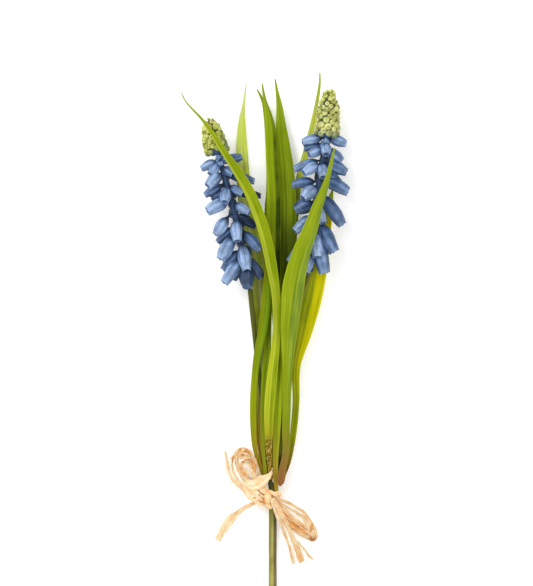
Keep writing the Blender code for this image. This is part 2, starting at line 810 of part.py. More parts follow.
def build():
    clear_scene()
    green = principled("stalk_green", GREEN_STALK, 0.5)
    blue = principled("floret_blue", FLOWER_BLUE, 0.6)
    yellow = principled("bud_yellow", BUD_YELLOW, 0.6)
    straw = principled("raffia_straw", RAFFIA, 0.7)
    stalk("stalk_left", STALK_LEFT, green)
    stalk("stalk_right", STALK_RIGHT, green)
    florets("florets_left", AXIS_LEFT, FLORETS_LEFT, 105, BUDS_START_LEFT - HEAD_GAP, blue)
    florets("florets_right", AXIS_RIGHT, FLORETS_RIGHT, 109, BUDS_START_RIGHT - HEAD_GAP, blue)
    buds("buds_left", AXIS_LEFT, BUDS_START_LEFT, BUD_CONE_RADIUS_LEFT, RANDOM_SEED, yellow)
    buds("buds_right", AXIS_RIGHT, BUDS_START_RIGHT, BUD_CONE_RADIUS_RIGHT, RANDOM_SEED + 1, yellow)
    for name, (rows, fold) in LEAVES.items():
        leaf(name, rows, fold, principled(name + "_green", LEAF_COLOURS[name], 0.45))
    raffia_tie(straw)
    bow("raffia_bow_left", BOW_LEFT, straw)
    bow("raffia_bow_right", BOW_RIGHT, straw)


build()
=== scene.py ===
"""Grape hyacinth: the looks of a cut bunch with a raffia bow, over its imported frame.

The bunch lies on its back with the flowers towards +Y. Routes are in millimetres, in the frame of
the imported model, and every finished piece is in metres with its object at the origin.
"""

import logging
import math
import random
from collections.abc import Callable
from dataclasses import dataclass
from enum import Enum
from functools import partial

import bpy
import numpy as np
from bpy.types import Material, Mesh, Node, NodeSocket, NodeTree, Object
from mathutils import Matrix, Vector

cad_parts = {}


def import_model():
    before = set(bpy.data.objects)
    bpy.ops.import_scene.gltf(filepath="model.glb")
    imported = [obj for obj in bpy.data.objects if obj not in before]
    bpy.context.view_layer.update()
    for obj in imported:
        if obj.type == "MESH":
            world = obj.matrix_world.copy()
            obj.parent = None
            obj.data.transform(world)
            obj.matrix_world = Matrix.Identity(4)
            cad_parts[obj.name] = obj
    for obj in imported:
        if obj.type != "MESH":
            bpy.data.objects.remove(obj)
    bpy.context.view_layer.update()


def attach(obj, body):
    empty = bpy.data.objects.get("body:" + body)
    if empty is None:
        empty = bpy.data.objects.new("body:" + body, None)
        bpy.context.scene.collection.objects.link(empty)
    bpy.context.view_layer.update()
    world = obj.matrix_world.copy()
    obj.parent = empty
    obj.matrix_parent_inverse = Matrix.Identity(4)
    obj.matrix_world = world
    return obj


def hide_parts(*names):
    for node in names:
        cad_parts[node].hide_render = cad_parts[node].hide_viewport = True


LOG = logging.getLogger("grape_hyacinth")

Row = tuple[float, ...]
Rows = list[Row]
Tint = tuple[int, int, int]
Colour = tuple[float, float, float, float]
Array = np.ndarray
Values = Array | float

MM = 0.001
UP = Vector((0, 0, 1))
BODY = "root"
GOLDEN_ANGLE = math.radians(137.5)
# faces that meet at more than this angle keep a sharp edge
SHARP = math.radians(50)
# the light that falls on a level surface; tints are given as they look in it
STUDIO_LIGHT = 1.16
# points are the same below this distance, in metres
WELD = 1e-7
# fibres run over a strip as if it were this wide on each side, in millimetres
FIBRE_SPREAD = 2.5
# how finely a route is sampled to find its point at some y
ROUTE_POINTS = 200
# the sockets of a colour mix: its two colours and its result
MIX_FIRST, MIX_SECOND, MIX_RESULT = 6, 7, 2
WHITE: Colour = (1, 1, 1, 1)
# the pale blue of the bells' light fibres and of their painted highlights
PALE_BLUE: Tint = (208, 231, 255)
DEEP_BLUE: Tint = (4, 26, 54)


@dataclass(frozen=True)
class Strip:
    """One loop or loose end of the bow."""

    # 0 to 1, below 0 where it is burnt brown
    tone: float
    # how many strands it is split into
    strands: int
    # x, y, z and width along it
    rows: Rows


# stalks and axes of the flower heads: x, y and z along them
STALK_LEFT: Rows = [
    (-0.3, -65, 4.2), (-0.3, -25, 4.7), (-0.3, -5, 4.8), (-0.3, 3.8, 4.8), (-0.35, 5.2, 4.8),
    (-1.2, 10, 4.9), (-2.4, 20, 5.2), (-4.6, 45, 6.7), (-7.4, 71, 9), (-9.9, 95, 11.6),
]
STALK_RIGHT: Rows = [
    (0.95, -65, 1.7), (0.95, -25, 2.2), (1, -5, 2.4), (1.05, 3.8, 2.4), (1.15, 5.2, 2.45),
    (2.2, 10, 3.3), (3.5, 20, 4.6), (4.6, 45, 7.2), (8.6, 67, 9.4), (11, 80, 10.4),
    (13.6, 93, 11.4), (16.8, 101.7, 12.1),
]
AXIS_LEFT: Rows = [
    (-9.95, 95.4, 11.65), (-10.4, 98, 11.9), (-13.2, 113, 11.6), (-17.8, 132, 10.8),
    (-22.1, 148, 10), (-24.9, 157, 9.5), (-28.3, 171, 8.9),
]
AXIS_RIGHT: Rows = [
    (16.95, 102.3, 12.1), (18.9, 121, 11.7), (19.8, 133, 11.2), (22.5, 152, 10.3), (24.3, 163, 9.8),
    (26, 184.5, 9.2),
]
# y of each bell's root on the axis, x and y of its mouth, how much higher its mouth lies, and its
# width; then, where they differ, the shift of its tone (painted light and shade: lighter for a lit
# bell, darker for a shaded one), its neck's share, and how far it is shut
FLORETS_LEFT: Rows = [
    (152.6, -31.7, 148.8, 1, 3.3, 0.1), (151.8, -18.7, 153.6, 1.5, 3.4),
    (151.6, -13.6, 154.2, -1.5, 3.6), (152, -27.6, 146.3, 3.4, 3.8), (149.5, -17.4, 146.4, 2, 3.8),
    (147.5, -28.8, 141, 3.6, 4.4), (145.5, -7.9, 143.2, -0.8, 3.4), (142.5, -30.2, 137, -0.6, 3.6),
    (141.5, -13.2, 137.4, 1.9, 3.2), (141.5, -21.2, 133.9, 5, 4.2), (138.5, -27, 135.5, -2.2, 3.4),
    (137.5, -5.1, 136.7, -1.8, 3.2, -0.4), (135, -29, 129.8, 2.4, 5),
    (133.5, -10.2, 129.2, 1.6, 3.6), (130, -25.2, 119.2, 2.2, 4.8, 0, 0.38),
    (129, -7.4, 122.9, -1.2, 3.8, -0.6), (127.5, -15.6, 116.5, 4.6, 4.1, 0.08),
    (123.5, -24.4, 115.9, -1.6, 3.8), (123, -5.4, 112.2, 1.2, 4, -0.12, 0.3),
    (121.5, -23, 108.2, 2.4, 5.1, 0, 0.32), (117, -11.3, 103.1, 5.6, 4.4, -0.1),
    (111, -4.6, 99.9, -1.6, 3.9, -0.15, 0.28), (109.5, -21.4, 97.5, 2, 5.1),
    (110, -17.2, 99.1, -2.4, 3.8), (113.5, -22, 103.5, -1.4, 3.8), (107, -11, 95.5, 4.2, 5.2, -0.8),
]
FLORETS_RIGHT: Rows = [
    (162.6, 13.6, 160.8, 1.6, 3.8), (159.5, 14.4, 158, -1.4, 3.8), (160.6, 24.3, 155.2, 4.2, 3.9),
    (162.4, 33.3, 160.1, 0.6, 3.6), (158, 16.6, 155, 2.6, 4.2), (158, 31.2, 152, 0.2, 5, -0.22),
    (153, 9.9, 148.6, 0.4, 3.6), (151.5, 14.2, 146.9, 3, 4.7), (152, 23, 145, 4.2, 4.4),
    (152, 33.4, 147.2, 1, 4.3, -0.15), (147.5, 30.5, 142.8, -1.2, 4, -0.2),
    (143, 8.8, 141.6, 0.2, 4.2, -0.15), (144.5, 34.2, 138.6, 0.8, 4.7, -0.2),
    (142, 13.9, 135.6, 2.6, 5), (138.5, 31.6, 123.6, 1, 5.5, -0.32),
    (134, 10.3, 130.4, -0.4, 5.8, -0.3), (133.5, 22.9, 124.4, 3.4, 3.8),
    (128.5, 10.3, 120.8, 2, 4.3), (126.5, 28, 111.5, 0.6, 5.6, -0.3), (122.5, 20.4, 109.1, 4, 5.2),
    (121, 23.6, 102, 0.8, 5.4, -0.1), (118.5, 7.6, 107, 0.4, 4.2), (112, 15.2, 102, 3.6, 4),
]
# x, y, z and width along each leaf
BLADE_ROUTES: dict[str, Rows] = {
    "leaf_front_left": [
        (-0.45, 9.3, 7.1, 1.7), (-1.3, 20, 8.2, 2.4), (-1.4, 31, 9.1, 3.8), (-1.1, 43, 10, 4.6),
        (0, 56, 11.6, 4.5), (1.6, 70, 13.4, 3.7), (2.2, 82, 14.8, 3.6), (1.6, 94, 16, 4),
        (-0.5, 107, 16.9, 4.9), (-3.6, 121, 17.4, 5.1), (-7.4, 132, 17.5, 5), (-11, 140, 17.4, 4.6),
        (-16.2, 148.6, 17.1, 3.9), (-22.7, 158.2, 16.9, 2.7), (-28, 166.5, 16.2, 1.8),
        (-32.1, 171.8, 15.5, 1.2), (-36, 175.9, 14.8, 0.9), (-38.6, 178.9, 14.2, 0.7),
        (-40.1, 181.6, 13.8, 0.55), (-40.7, 183.1, 13.6, 0.35),
    ],
    "leaf_front_right": [
        (3.55, 6.4, 5.5, 0.6), (3.6, 6.8, 5.5, 1.9), (3.8, 7.8, 5.6, 2.8), (4.05, 9, 5.7, 3.3),
        (4.3, 10.6, 5.8, 3.5), (4.6, 13, 6, 3.4), (5.1, 16, 6.2, 3), (5.9, 20, 6.6, 2.7),
        (6.3, 31, 7.9, 3.4), (6.6, 43, 9.7, 3.7), (6.9, 56, 11.6, 4), (7.2, 67, 13.4, 5.8),
        (7.8, 78, 15.2, 7.7), (8.5, 86, 16.6, 8.7), (9.4, 95, 17.7, 9.7), (11.1, 104, 18.8, 9),
        (13.7, 113, 19.6, 7.8), (17.1, 121.5, 20, 6.6), (20.4, 132, 20, 4.8),
        (23.3, 139.5, 19.6, 3.4), (25.1, 145.4, 19.1, 2.3), (26.8, 152.6, 18.4, 1.5),
        (27.9, 158, 17.6, 0.7),
    ],
    "leaf_right_side": [
        (4.6, 9.3, 2.9, 1.6), (7.3, 17, 3.9, 2.2), (8.8, 25, 4.8, 2.8), (10, 34, 5.6, 3),
        (10.8, 45, 6, 3.1), (10.7, 56, 6.1, 3.5), (11, 60.5, 6.1, 3.7), (12, 66, 6, 5),
        (13.5, 72, 5.6, 6.5), (15.7, 81, 4.9, 8), (17.8, 90, 4.1, 8.9), (19.6, 100.5, 3.2, 9.3),
        (21.4, 111.5, 2.4, 8.4), (23.7, 123.5, 1.8, 6.2), (25.7, 132.5, 1.6, 3.6),
        (27.2, 139.5, 1.8, 0.8),
    ],
    "leaf_behind_right_head": [
        (2.6, 9.3, 1.4, 1.5), (4.6, 20, 2.2, 2), (6.2, 34, 2.6, 2.3), (7.6, 52, 2.4, 2.6),
        (8.4, 70, 2, 2.8), (8.8, 90, 1.7, 3), (9.4, 112, 1.5, 3), (10.8, 132, 1.4, 3),
        (12.8, 147.6, 1.5, 2.9), (15.2, 156.5, 1.8, 2.7), (18, 168.3, 2.8, 2.2),
        (20.1, 178.6, 3.9, 1.6), (21.5, 188.5, 4.9, 1), (21.5, 192.2, 5.3, 0.6),
    ],
    "leaf_behind_left_head": [
        (-1.9, 9.3, 3, 1.5), (-4.7, 20, 3.4, 2), (-6.1, 31, 3.8, 2.8), (-6.4, 43, 3.8, 2.4),
        (-6.1, 56, 3.6, 3.1), (-5.5, 70, 3.3, 4.5), (-5, 82, 3, 6.3), (-5.2, 94.5, 2.6, 7.2),
        (-6.8, 107, 2.2, 7.4), (-9.2, 119, 1.9, 7.4), (-11.5, 131.5, 1.6, 7),
        (-12.9, 145, 1.5, 5.9), (-13.6, 157.5, 1.7, 5.1), (-13.5, 171, 2.6, 3),
        (-12.6, 178.5, 3.4, 1.3), (-11.6, 187.4, 4.3, 0.5),
    ],
    "leaf_left_side": [
        (-3.6, 10.6, 5.1, 1.5), (-5.6, 16, 5.5, 1.9), (-7.7, 24, 6.2, 2.2), (-8.4, 34, 7.1, 2.8),
        (-8.4, 45, 8.6, 3), (-7.8, 55, 10.3, 2.9), (-6.4, 66.5, 11.6, 3.3), (-4.3, 76.5, 12.3, 3.9),
        (-3.2, 85.5, 12.8, 4), (-2.4, 94.5, 13.3, 3.6), (-1.7, 104, 13.9, 3), (-1.9, 113, 14.5, 2),
        (-3.4, 121.5, 14.9, 0.7),
    ],
    "leaf_centre_thin": [
        (-2.5, 9.3, 7, 1.5), (-3.7, 20, 7.7, 1.7), (-4.2, 31, 8.5, 1.9), (-4.1, 45, 9.3, 2),
        (-3.2, 56, 9.4, 2.9), (-2.2, 67.5, 9.1, 3.4), (-1.8, 79, 8.6, 3), (-1.5, 90, 7.6, 3.2),
        (-1.6, 103.5, 6.2, 3.4), (-1.8, 117, 4.9, 3.6), (-1.5, 129.5, 3.8, 3.8),
        (-0.8, 139.5, 3.2, 3.7), (-0.8, 151, 2.8, 3.7), (-1.3, 163.8, 2.6, 3.8),
        (-2.5, 173.2, 2.8, 2.7), (-3.9, 179.1, 3.2, 1.7), (-5.4, 182.3, 3.5, 1.1),
        (-6.8, 184.7, 3.8, 0.6),
    ],
    "leaf_centre_left": [
        (2.05, 4.3, 5.6, 1.7), (1.9, 6.4, 5.6, 1.9), (1.6, 9.3, 5.7, 2.1), (1.45, 14, 6.4, 2.4),
        (1.6, 20, 7, 2.6), (2.1, 31, 8, 3.2), (2.7, 45, 9.1, 3.8), (3.1, 56, 9.5, 4),
        (2.9, 68, 9.6, 3.8), (2.2, 83, 9.7, 4.4), (1.5, 97, 9.3, 5), (1, 110, 8.8, 5.6),
        (0.85, 121.5, 8.2, 6.3), (0.75, 132.8, 7.6, 6.4), (0.6, 141, 7.2, 5.9),
        (0.05, 151, 6.8, 5.5), (-0.4, 160, 6.5, 5.2), (-0.8, 167.5, 6.4, 4.8),
        (-1.9, 174.2, 6.4, 3), (-2.9, 178.4, 6.6, 1.8), (-3.9, 183.6, 6.9, 1.1),
        (-4.4, 187.3, 7.1, 0.6),
    ],
    "leaf_centre_right": [
        (-0.25, 9.3, 3.1, 1.1), (0.3, 20, 3.9, 1.8), (0.7, 31, 4.6, 2.2), (1, 45, 5.3, 3.4),
        (1.9, 58, 5.8, 4.2), (3.6, 72, 6, 4.2), (4.9, 85, 5.8, 5.2), (6, 98, 5.4, 6.2),
        (6.8, 110, 4.9, 6.9), (7.2, 121.5, 4.6, 7.2), (7.3, 130.5, 4.3, 7.3), (7, 139.5, 4.1, 7.3),
        (6, 151.7, 3.9, 6.9), (5, 160, 3.9, 6), (3.9, 170, 4, 4.3), (3.3, 177.3, 4.3, 2.8),
        (2.3, 183.6, 4.8, 1.4), (1.4, 189.3, 5.3, 0.6),
    ],
}
# how steeply a leaf's halves rise from its midrib, in degrees
BLADE_FOLDS: dict[str, float] = {
    "leaf_front_left": 22,
    "leaf_front_right": 26,
    "leaf_right_side": 14,
    "leaf_behind_right_head": 12,
    "leaf_behind_left_head": 12,
    "leaf_left_side": 16,
    "leaf_centre_thin": 10,
    "leaf_centre_left": 20,
    "leaf_centre_right": 18,
}
# the raffia on each side of the knot
BOW_LEFT: tuple[Strip, ...] = (
    Strip(1.15, 1, [(-10, 4, 5, 1.6), (-12.8, 5.2, 4.8, 1.5), (-15.4, 6.8, 4.4, 1.4),
        (-17.6, 9, 4, 1.4), (-19.2, 11.9, 3.6, 1.5), (-20, 16.4, 3.4, 1.4),
        (-20.8, 21.8, 3.6, 1.3)]),
    Strip(0.95, 2, [(-6.4, -1, 4.8, 2), (-8.9, -1.8, 4.2, 2.3), (-11.5, -2.9, 3.6, 2.6),
        (-14.7, -5, 2.8, 3.2), (-17.9, -7.8, 2, 3.9), (-20.6, -11.3, 1.5, 3.8),
        (-23, -14.8, 1.3, 4), (-24.3, -17.6, 1.3, 5.2)]),
    Strip(1.35, 2, [(-9.6, 3, 5.6, 2.4), (-12.8, 6.1, 5.4, 2), (-15.4, 9, 5.2, 1.8),
        (-17, 11.9, 5.2, 1.7), (-17.8, 16.1, 5.6, 1.6), (-17.4, 18.8, 6.2, 1.6),
        (-16.2, 21, 7.2, 1.7), (-14.4, 22.7, 8.2, 1.6), (-12, 23, 8.8, 1.6), (-10.2, 21.7, 9, 1.6),
        (-9.2, 19.2, 8.8, 1.6), (-9, 16.8, 8.4, 1.4)]),
    Strip(1.05, 2, [(-8.4, 7.6, 6, 2.8), (-10.8, 10, 6, 2.9), (-12.8, 12.6, 6, 2.5),
        (-14.4, 15.1, 6.2, 1.9), (-15.4, 17.8, 6.6, 1.5), (-15.1, 20.2, 7.4, 1.5),
        (-13.8, 21.7, 8.6, 1.5), (-12, 21.7, 9.2, 1.4), (-10.8, 20.3, 9.2, 1.2)]),
    Strip(1.2, 1, [(-9.6, 6.4, 5.8, 1.6), (-12.4, 9.2, 5.6, 1.4), (-14.4, 12, 5.6, 1.2),
        (-16.2, 15.6, 5.8, 1.1), (-16.4, 18.8, 6.4, 1.1), (-15, 21.4, 7.6, 1.2)]),
    Strip(0.85, 2, [(-6, 8, 7.6, 2.2), (-7.2, 10, 7.8, 2.2), (-8.2, 12.4, 8, 2.1),
        (-8.4, 15, 8.4, 2.6), (-8.9, 17.4, 8.8, 2.5), (-10.2, 19.4, 9.2, 1.9),
        (-11.8, 20.4, 9.6, 1.3)]),
    Strip(0.85, 1, [(-4.9, 9.4, 7, 1.2), (-5.6, 11.4, 7.2, 1.3), (-6.3, 13.8, 7.6, 1.2),
        (-7, 16.2, 8, 1.2), (-8, 18.8, 8.6, 1.2), (-9.6, 21, 8.8, 1.1)]),
    Strip(0.9, 1, [(-16.9, 17.2, 6.6, 1), (-16, 19.4, 7.8, 1.1), (-14.2, 20, 8.8, 1.1),
        (-12.8, 22.6, 9.6, 1.2), (-10.8, 22.4, 9.6, 1.1), (-9, 20.6, 9.2, 1),
        (-8.2, 17.6, 8.8, 0.9)]),
    Strip(-0.3, 1, [(-15.6, 22, 7.8, 0.8), (-13.8, 22.9, 9.2, 0.9), (-12.2, 22, 9.8, 0.8)]),
    Strip(-0.25, 1, [(-9, 17.2, 9.6, 0.9), (-8, 15.4, 9.5, 1.3), (-7.6, 13.4, 9.1, 0.9)]),
    Strip(0.1, 1, [(-14.6, 14.6, 6.8, 0.7), (-13.2, 12.8, 6.9, 1), (-11.4, 10.8, 6.8, 0.7)]),
    Strip(0.35, 1, [(-14.9, 19.2, 8.6, 1.3), (-14.1, 20.8, 9.5, 1.4), (-12.5, 21.6, 10.1, 1.4),
        (-11.1, 20.8, 10.1, 1.3), (-10.5, 19.4, 9.4, 1.1)]),
    Strip(-0.35, 1, [(-13.9, 17.4, 8.2, 0.7), (-12, 17.9, 9.7, 0.8), (-9.6, 18.3, 9.9, 0.7)]),
    Strip(-0.3, 1, [(-18.2, 17.6, 6.2, 0.5), (-17.8, 18.8, 6.6, 0.9), (-17, 19.8, 6.9, 0.5)]),
    Strip(0.7, 1, [(-14.3, 18.4, 8.2, 1.1), (-12.3, 19.4, 10, 1.3), (-10.1, 19.5, 9.8, 1)]),
    Strip(0.0, 1, [(-14.6, 20.6, 8.9, 0.8), (-13, 22.4, 9.7, 0.9), (-11, 22, 9.9, 0.9),
        (-9.8, 20, 9.4, 0.8)]),
    Strip(1.3, 1, [(-14.6, 19.4, 7.6, 1.6), (-12.6, 20.3, 8.3, 2.2), (-10.4, 20.1, 8.5, 1.8),
        (-9.4, 18.6, 8.4, 1.2)]),
    Strip(1.2, 1, [(-14.3, 16.4, 7.2, 0.9), (-12.3, 16.9, 8.2, 1.2), (-10, 17.1, 8.6, 1)]),
    Strip(1.1, 1, [(-9.9, 17.2, 8.4, 1), (-9.7, 15, 8.3, 1.3), (-9.3, 12.6, 7.9, 1.3),
        (-8.7, 10.4, 7.3, 1)]),
    Strip(1.1, 1, [(-14, 17, 7.2, 1), (-13.1, 14.9, 6.9, 1.4), (-11.8, 12.9, 6.7, 1.4),
        (-10.4, 11, 6.7, 1.1)]),
    Strip(0.8, 1, [(-2.2, -1.6, 7.6, 2), (-4.9, -0.7, 7.3, 2.8), (-7.5, 0.6, 6.9, 3.6),
        (-10, 2.6, 6.4, 3.6), (-12.6, 5.4, 5.7, 2.2)]),
    Strip(1.2, 1, [(-2.2, -0.3, 8, 2.2), (-5, 1.1, 7.8, 3.4), (-7.7, 2.8, 7.4, 4.4),
        (-10, 4.6, 6.8, 4.2), (-12.4, 7, 5.9, 2.2)]),
    Strip(1.0, 1, [(-2.2, 1, 8.3, 2.2), (-4.8, 3, 8.1, 3.6), (-7.3, 4.9, 7.7, 4.6),
        (-9.6, 6.5, 7.1, 3.8), (-12.2, 8, 6.2, 1.8)]),
    Strip(1.3, 1, [(-2, 2.4, 8.5, 2.2), (-4, 4.9, 8.5, 3.6), (-6.4, 6.9, 8.4, 4),
        (-8.8, 7.8, 7.9, 3), (-11.4, 8.4, 6.8, 1.4)]),
    Strip(1.3, 1, [(-11.6, 6.8, 7.2, 2.2), (-9, 6.8, 8.2, 4.2), (-6.7, 7.3, 9, 5.4),
        (-4.6, 8.5, 9.8, 4.8), (-2.6, 10.3, 10.3, 3.3), (-1.1, 12, 10.4, 2), (0.1, 14.2, 10, 0.4)]),
    Strip(-0.6, 1, [(-2.6, 1.7, 9, 0.45), (-4.8, 3.3, 8.7, 0.5), (-7, 5.1, 8.2, 0.2)]),
    Strip(-0.5, 1, [(-2.9, 0.5, 8.8, 0.4), (-5.2, 1.9, 8.4, 0.5), (-7.8, 3.4, 7.9, 0.2)]),
    Strip(-0.45, 1, [(-3.2, -0.9, 8.3, 0.4), (-5.6, 0, 7.9, 0.45), (-8, 1.3, 7.4, 0.2)]),
    Strip(0.6, 1, [(-2.7, 3.2, 8.7, 1.2), (-1.3, 3.9, 9.2, 1.5), (0.5, 3.3, 9.5, 1.7),
        (2.2, 2, 9.2, 1.6), (3.8, 0.5, 7.8, 1.1)]),
)
BOW_RIGHT: tuple[Strip, ...] = (
    Strip(0.9, 2, [(2.2, 1.2, 8.8, 1.6), (6.2, -0.4, 8.2, 1.4), (9.7, -2.6, 7.6, 1.3),
        (13.6, -5.2, 7, 1.4), (15.8, -8, 6.6, 1.8), (18.2, -11.6, 6, 2.6), (19.7, -14.6, 5.2, 2.6),
        (20, -16.8, 4.4, 1.9), (18.8, -18, 3.8, 1.8), (16.6, -17.6, 3.4, 2), (14, -16.2, 3.2, 2.4),
        (10.5, -13.4, 3.4, 2.8), (7.6, -10, 4.4, 2.8), (4.8, -5.6, 6.2, 2.4)]),
    Strip(0.8, 2, [(3, -2.8, 8.4, 1.8), (5.4, -6.4, 7.8, 2.2), (7.7, -9.4, 7, 2.6),
        (10.3, -11.9, 6.2, 2.8), (13.6, -14.4, 5.4, 2.8), (16.6, -16.6, 5, 2)]),
    Strip(0.75, 3, [(2.8, -1.4, 9.2, 1.8), (4.8, -3.6, 8.8, 2.4), (7.8, -6.8, 8.2, 2.7),
        (11, -9.3, 7.4, 2.8), (14.2, -11.6, 6.8, 2.6), (17.1, -13.9, 6, 2), (18.6, -16, 5.2, 1.3)]),
    Strip(1.1, 2, [(2.6, 0, 9, 1.4), (5.2, -1.8, 8.6, 1.2), (7.8, -3.6, 8, 1.1),
        (10.8, -5.4, 7.6, 1.1), (13.6, -7.3, 7.2, 1.5), (15.4, -9.6, 6.8, 2), (17, -12.4, 6.2, 2.2),
        (18.4, -15.4, 5.6, 1.8)]),
    Strip(-0.1, 1, [(17.2, -14, 6.4, 0.6), (17.9, -12.4, 6.7, 1.1), (18, -10.8, 6.9, 0.5)]),
    Strip(0.0, 1, [(12.4, -10.9, 7.4, 0.6), (13.8, -11.8, 7.2, 0.8), (15.2, -13.2, 6.7, 0.5)]),
    Strip(-0.15, 1, [(7.4, -9.2, 7.3, 0.7), (9.6, -11.6, 7, 1.5), (12.4, -13, 6.5, 1.6),
        (15.6, -15, 5.9, 0.8)]),
    Strip(-0.45, 1, [(5.2, -5.2, 8.6, 0.4), (8, -8.4, 8, 0.45), (11.6, -11.9, 7.3, 0.3)]),
    Strip(-1.0, 1, [(16.9, -17, 5.6, 0.9), (18, -17.6, 5.3, 1.5), (18.9, -17.3, 5, 0.9)]),
    Strip(1.15, 2, [(0.1, 0.3, 10, 2), (1, -1.6, 10, 2.7), (2, -3.9, 9.2, 2.9),
        (3.4, -7.7, 7.6, 2.9), (4.7, -12.5, 5.4, 2.1), (6.2, -17, 3.8, 1.6), (7.8, -21.2, 2.6, 1.5),
        (9.8, -28.1, 1.3, 2)]),
    Strip(0.7, 2, [(1.2, -0.2, 10.3, 2), (2.6, -2.6, 9.9, 2.8), (4, -5.2, 9.1, 3.3),
        (5.6, -8.1, 7.9, 3.6), (7.5, -12.6, 5.9, 3.4), (9.4, -17.4, 4.1, 2.7),
        (11.2, -21.5, 2.7, 2.3), (13.4, -27.4, 1.4, 2.7)]),
    Strip(1.0, 1, [(11.8, -18.4, 3.4, 0.9), (14.2, -22, 2.2, 0.8), (16, -24.2, 1.7, 0.7),
        (18.2, -26.2, 1.4, 0.7)]),
)
# the leaves that lie behind the flower heads
BLADES_BEHIND = (
    "leaf_behind_left_head",
    "leaf_behind_right_head",
    "leaf_right_side",
    "leaf_centre_right",
    "leaf_centre_left",
    "leaf_centre_thin",
)

class Slot(Enum):
    """The record's material slots."""

    STALK = "stalk_green"
    FLORET = "floret_blue"
    BUD = "bud_yellow"
    LEAF_GREEN = "leaf_green"
    LEAF_PALE = "leaf_pale"
    LEAF_OLIVE = "leaf_olive"
    RAFFIA = "raffia_straw"


class Mark(Enum):
    """Point attributes that the materials read."""

    FLOW = "flow"  # across, seed and along, in millimetres: where the fibres run
    # for the bells, the tone also carries their painted light and shade
    PLACE = "place"  # across or round, along, and the tone of its own of each small piece


def unit(vectors: Array) -> Array:
    """These vectors, each at length one."""
    return vectors / np.linalg.norm(vectors, axis=1)[:, None]


def lengths_along(points: Array) -> Array:
    """How far along a route each of its points lies."""
    steps = np.linalg.norm(np.diff(points, axis=0), axis=1)
    return np.concatenate([[0], np.cumsum(steps)])


def level_sides(points: Array) -> Array:
    """The level direction to the right of a route at each of its points."""
    return unit(np.cross(np.gradient(points, axis=0), np.array(UP)))


def smooth_rows(rows: Rows, count: int) -> Array:
    """Rows on a smooth curve through the given rows.

    Args:
        rows: x, y, z and further values of each row.
        count: how many rows to return, evenly spaced along the curve.

    Returns:
        An array of that many rows.
    """
    table = np.array(rows, float)
    along = lengths_along(table[:, :3])
    slopes = np.gradient(table, along, axis=0)
    wanted = np.linspace(0, along[-1], count)
    index = np.clip(np.searchsorted(along, wanted, side="right") - 1, 0, len(along) - 2)
    span = (along[index + 1] - along[index])[:, None]
    t = (wanted - along[index])[:, None] / span
    return (
        (2 * t**3 - 3 * t**2 + 1) * table[index]
        + (t**3 - 2 * t**2 + t) * span * slopes[index]
        + (3 * t**2 - 2 * t**3) * table[index + 1]
        + (t**3 - t**2) * span * slopes[index + 1]
    )


def at_y(rows: Rows, y: float) -> Vector:
    """The point of a route at this y."""
    curve = smooth_rows(rows, ROUTE_POINTS)
    return Vector([float(np.interp(y, curve[:, 1], curve[:, part])) for part in range(3)])


def smoothstep(value: Values, low: float, high: float) -> Values:
    """0 below low, 1 above high, and a smooth rise between them."""
    t = np.clip((value - low) / (high - low), 0, 1)
    return t * t * (3 - 2 * t)


def linear(tint: Tint) -> Colour:
    """The linear colour of a surface that shows this display colour, 0 to 255, in the studio."""
    parts = [c / 255 for c in tint]
    found = [c / 12.92 if c <= 0.04045 else ((c + 0.055) / 1.055) ** 2.4 for c in parts]
    return (*(c / STUDIO_LIGHT for c in found), 1.0)


def select_only(*objects: Object) -> None:
    """Selects these objects alone, the first of them active."""
    bpy.ops.object.select_all(action="DESELECT")
    for obj in objects:
        obj.select_set(True)
    bpy.context.view_layer.objects.active = objects[0]


def named(add: Callable, name: str, **settings: object) -> Object:
    """The object that one of Blender's add operators makes, alone selected, under this name."""
    bpy.ops.object.select_all(action="DESELECT")
    add(**settings)
    made = bpy.context.view_layer.objects.active
    made.name = name
    made.data.name = name
    return made


def values_of(points: bpy.types.bpy_prop_collection, key: str) -> Array:
    """Three values of each point, such as its place."""
    found = np.zeros(len(points) * 3)
    points.foreach_get(key, found)
    return found.reshape(-1, 3)


def coordinates(mesh: Mesh) -> Array:
    """The places of a mesh's vertices."""
    return values_of(mesh.vertices, "co")


def place_vertices(mesh: Mesh, points: Array) -> None:
    """Moves a mesh's vertices to these places."""
    mesh.vertices.foreach_set("co", np.ascontiguousarray(points, float).ravel())
    mesh.update()


def marked(mesh: Mesh, which: Mark) -> Array:
    """What one of the point attributes that the materials read holds."""
    return values_of(mesh.attributes[which.value].data, "vector")


def mark(mesh: Mesh, which: Mark, *values: Values) -> None:
    """Writes one of the point attributes that the materials read, from its three values."""
    found = mesh.attributes.get(which.value)
    if found is None:
        found = mesh.attributes.new(which.value, "FLOAT_VECTOR", "POINT")
    table = np.stack([np.broadcast_to(value, len(mesh.vertices)) for value in values], 1)
    found.data.foreach_set("vector", np.ascontiguousarray(table, np.float32).ravel())


def retone(mesh: Mesh, tone: Values, along: Values | None = None) -> None:
    """Gives a piece its own tone, and its own place along the whole where that is given."""
    first, own_along, _ = marked(mesh, Mark.PLACE).T
    mark(mesh, Mark.PLACE, first, own_along if along is None else along, tone)


def copy_of(model: Object) -> Object:
    """A copy of a model with a mesh of its own."""
    made = model.copy()
    made.data = model.data.copy()
    bpy.context.scene.collection.objects.link(made)
    return made


def closed(obj: Object) -> Object:
    """Welds a mesh's seam, closes its open ends and turns its faces outwards."""
    select_only(obj)
    bpy.ops.object.mode_set(mode="EDIT")
    bpy.ops.mesh.select_all(action="SELECT")
    bpy.ops.mesh.remove_doubles(threshold=WELD)
    bpy.ops.mesh.fill_holes(sides=0)
    bpy.ops.mesh.normals_make_consistent(inside=False)
    bpy.ops.object.mode_set(mode="OBJECT")
    return obj


def joined(name: str, objects: list[Object]) -> Object:
    """One object of these, under a new name."""
    select_only(*objects)
    bpy.ops.object.join()
    made = bpy.context.view_layer.objects.active
    made.name = name
    made.data.name = name
    return made


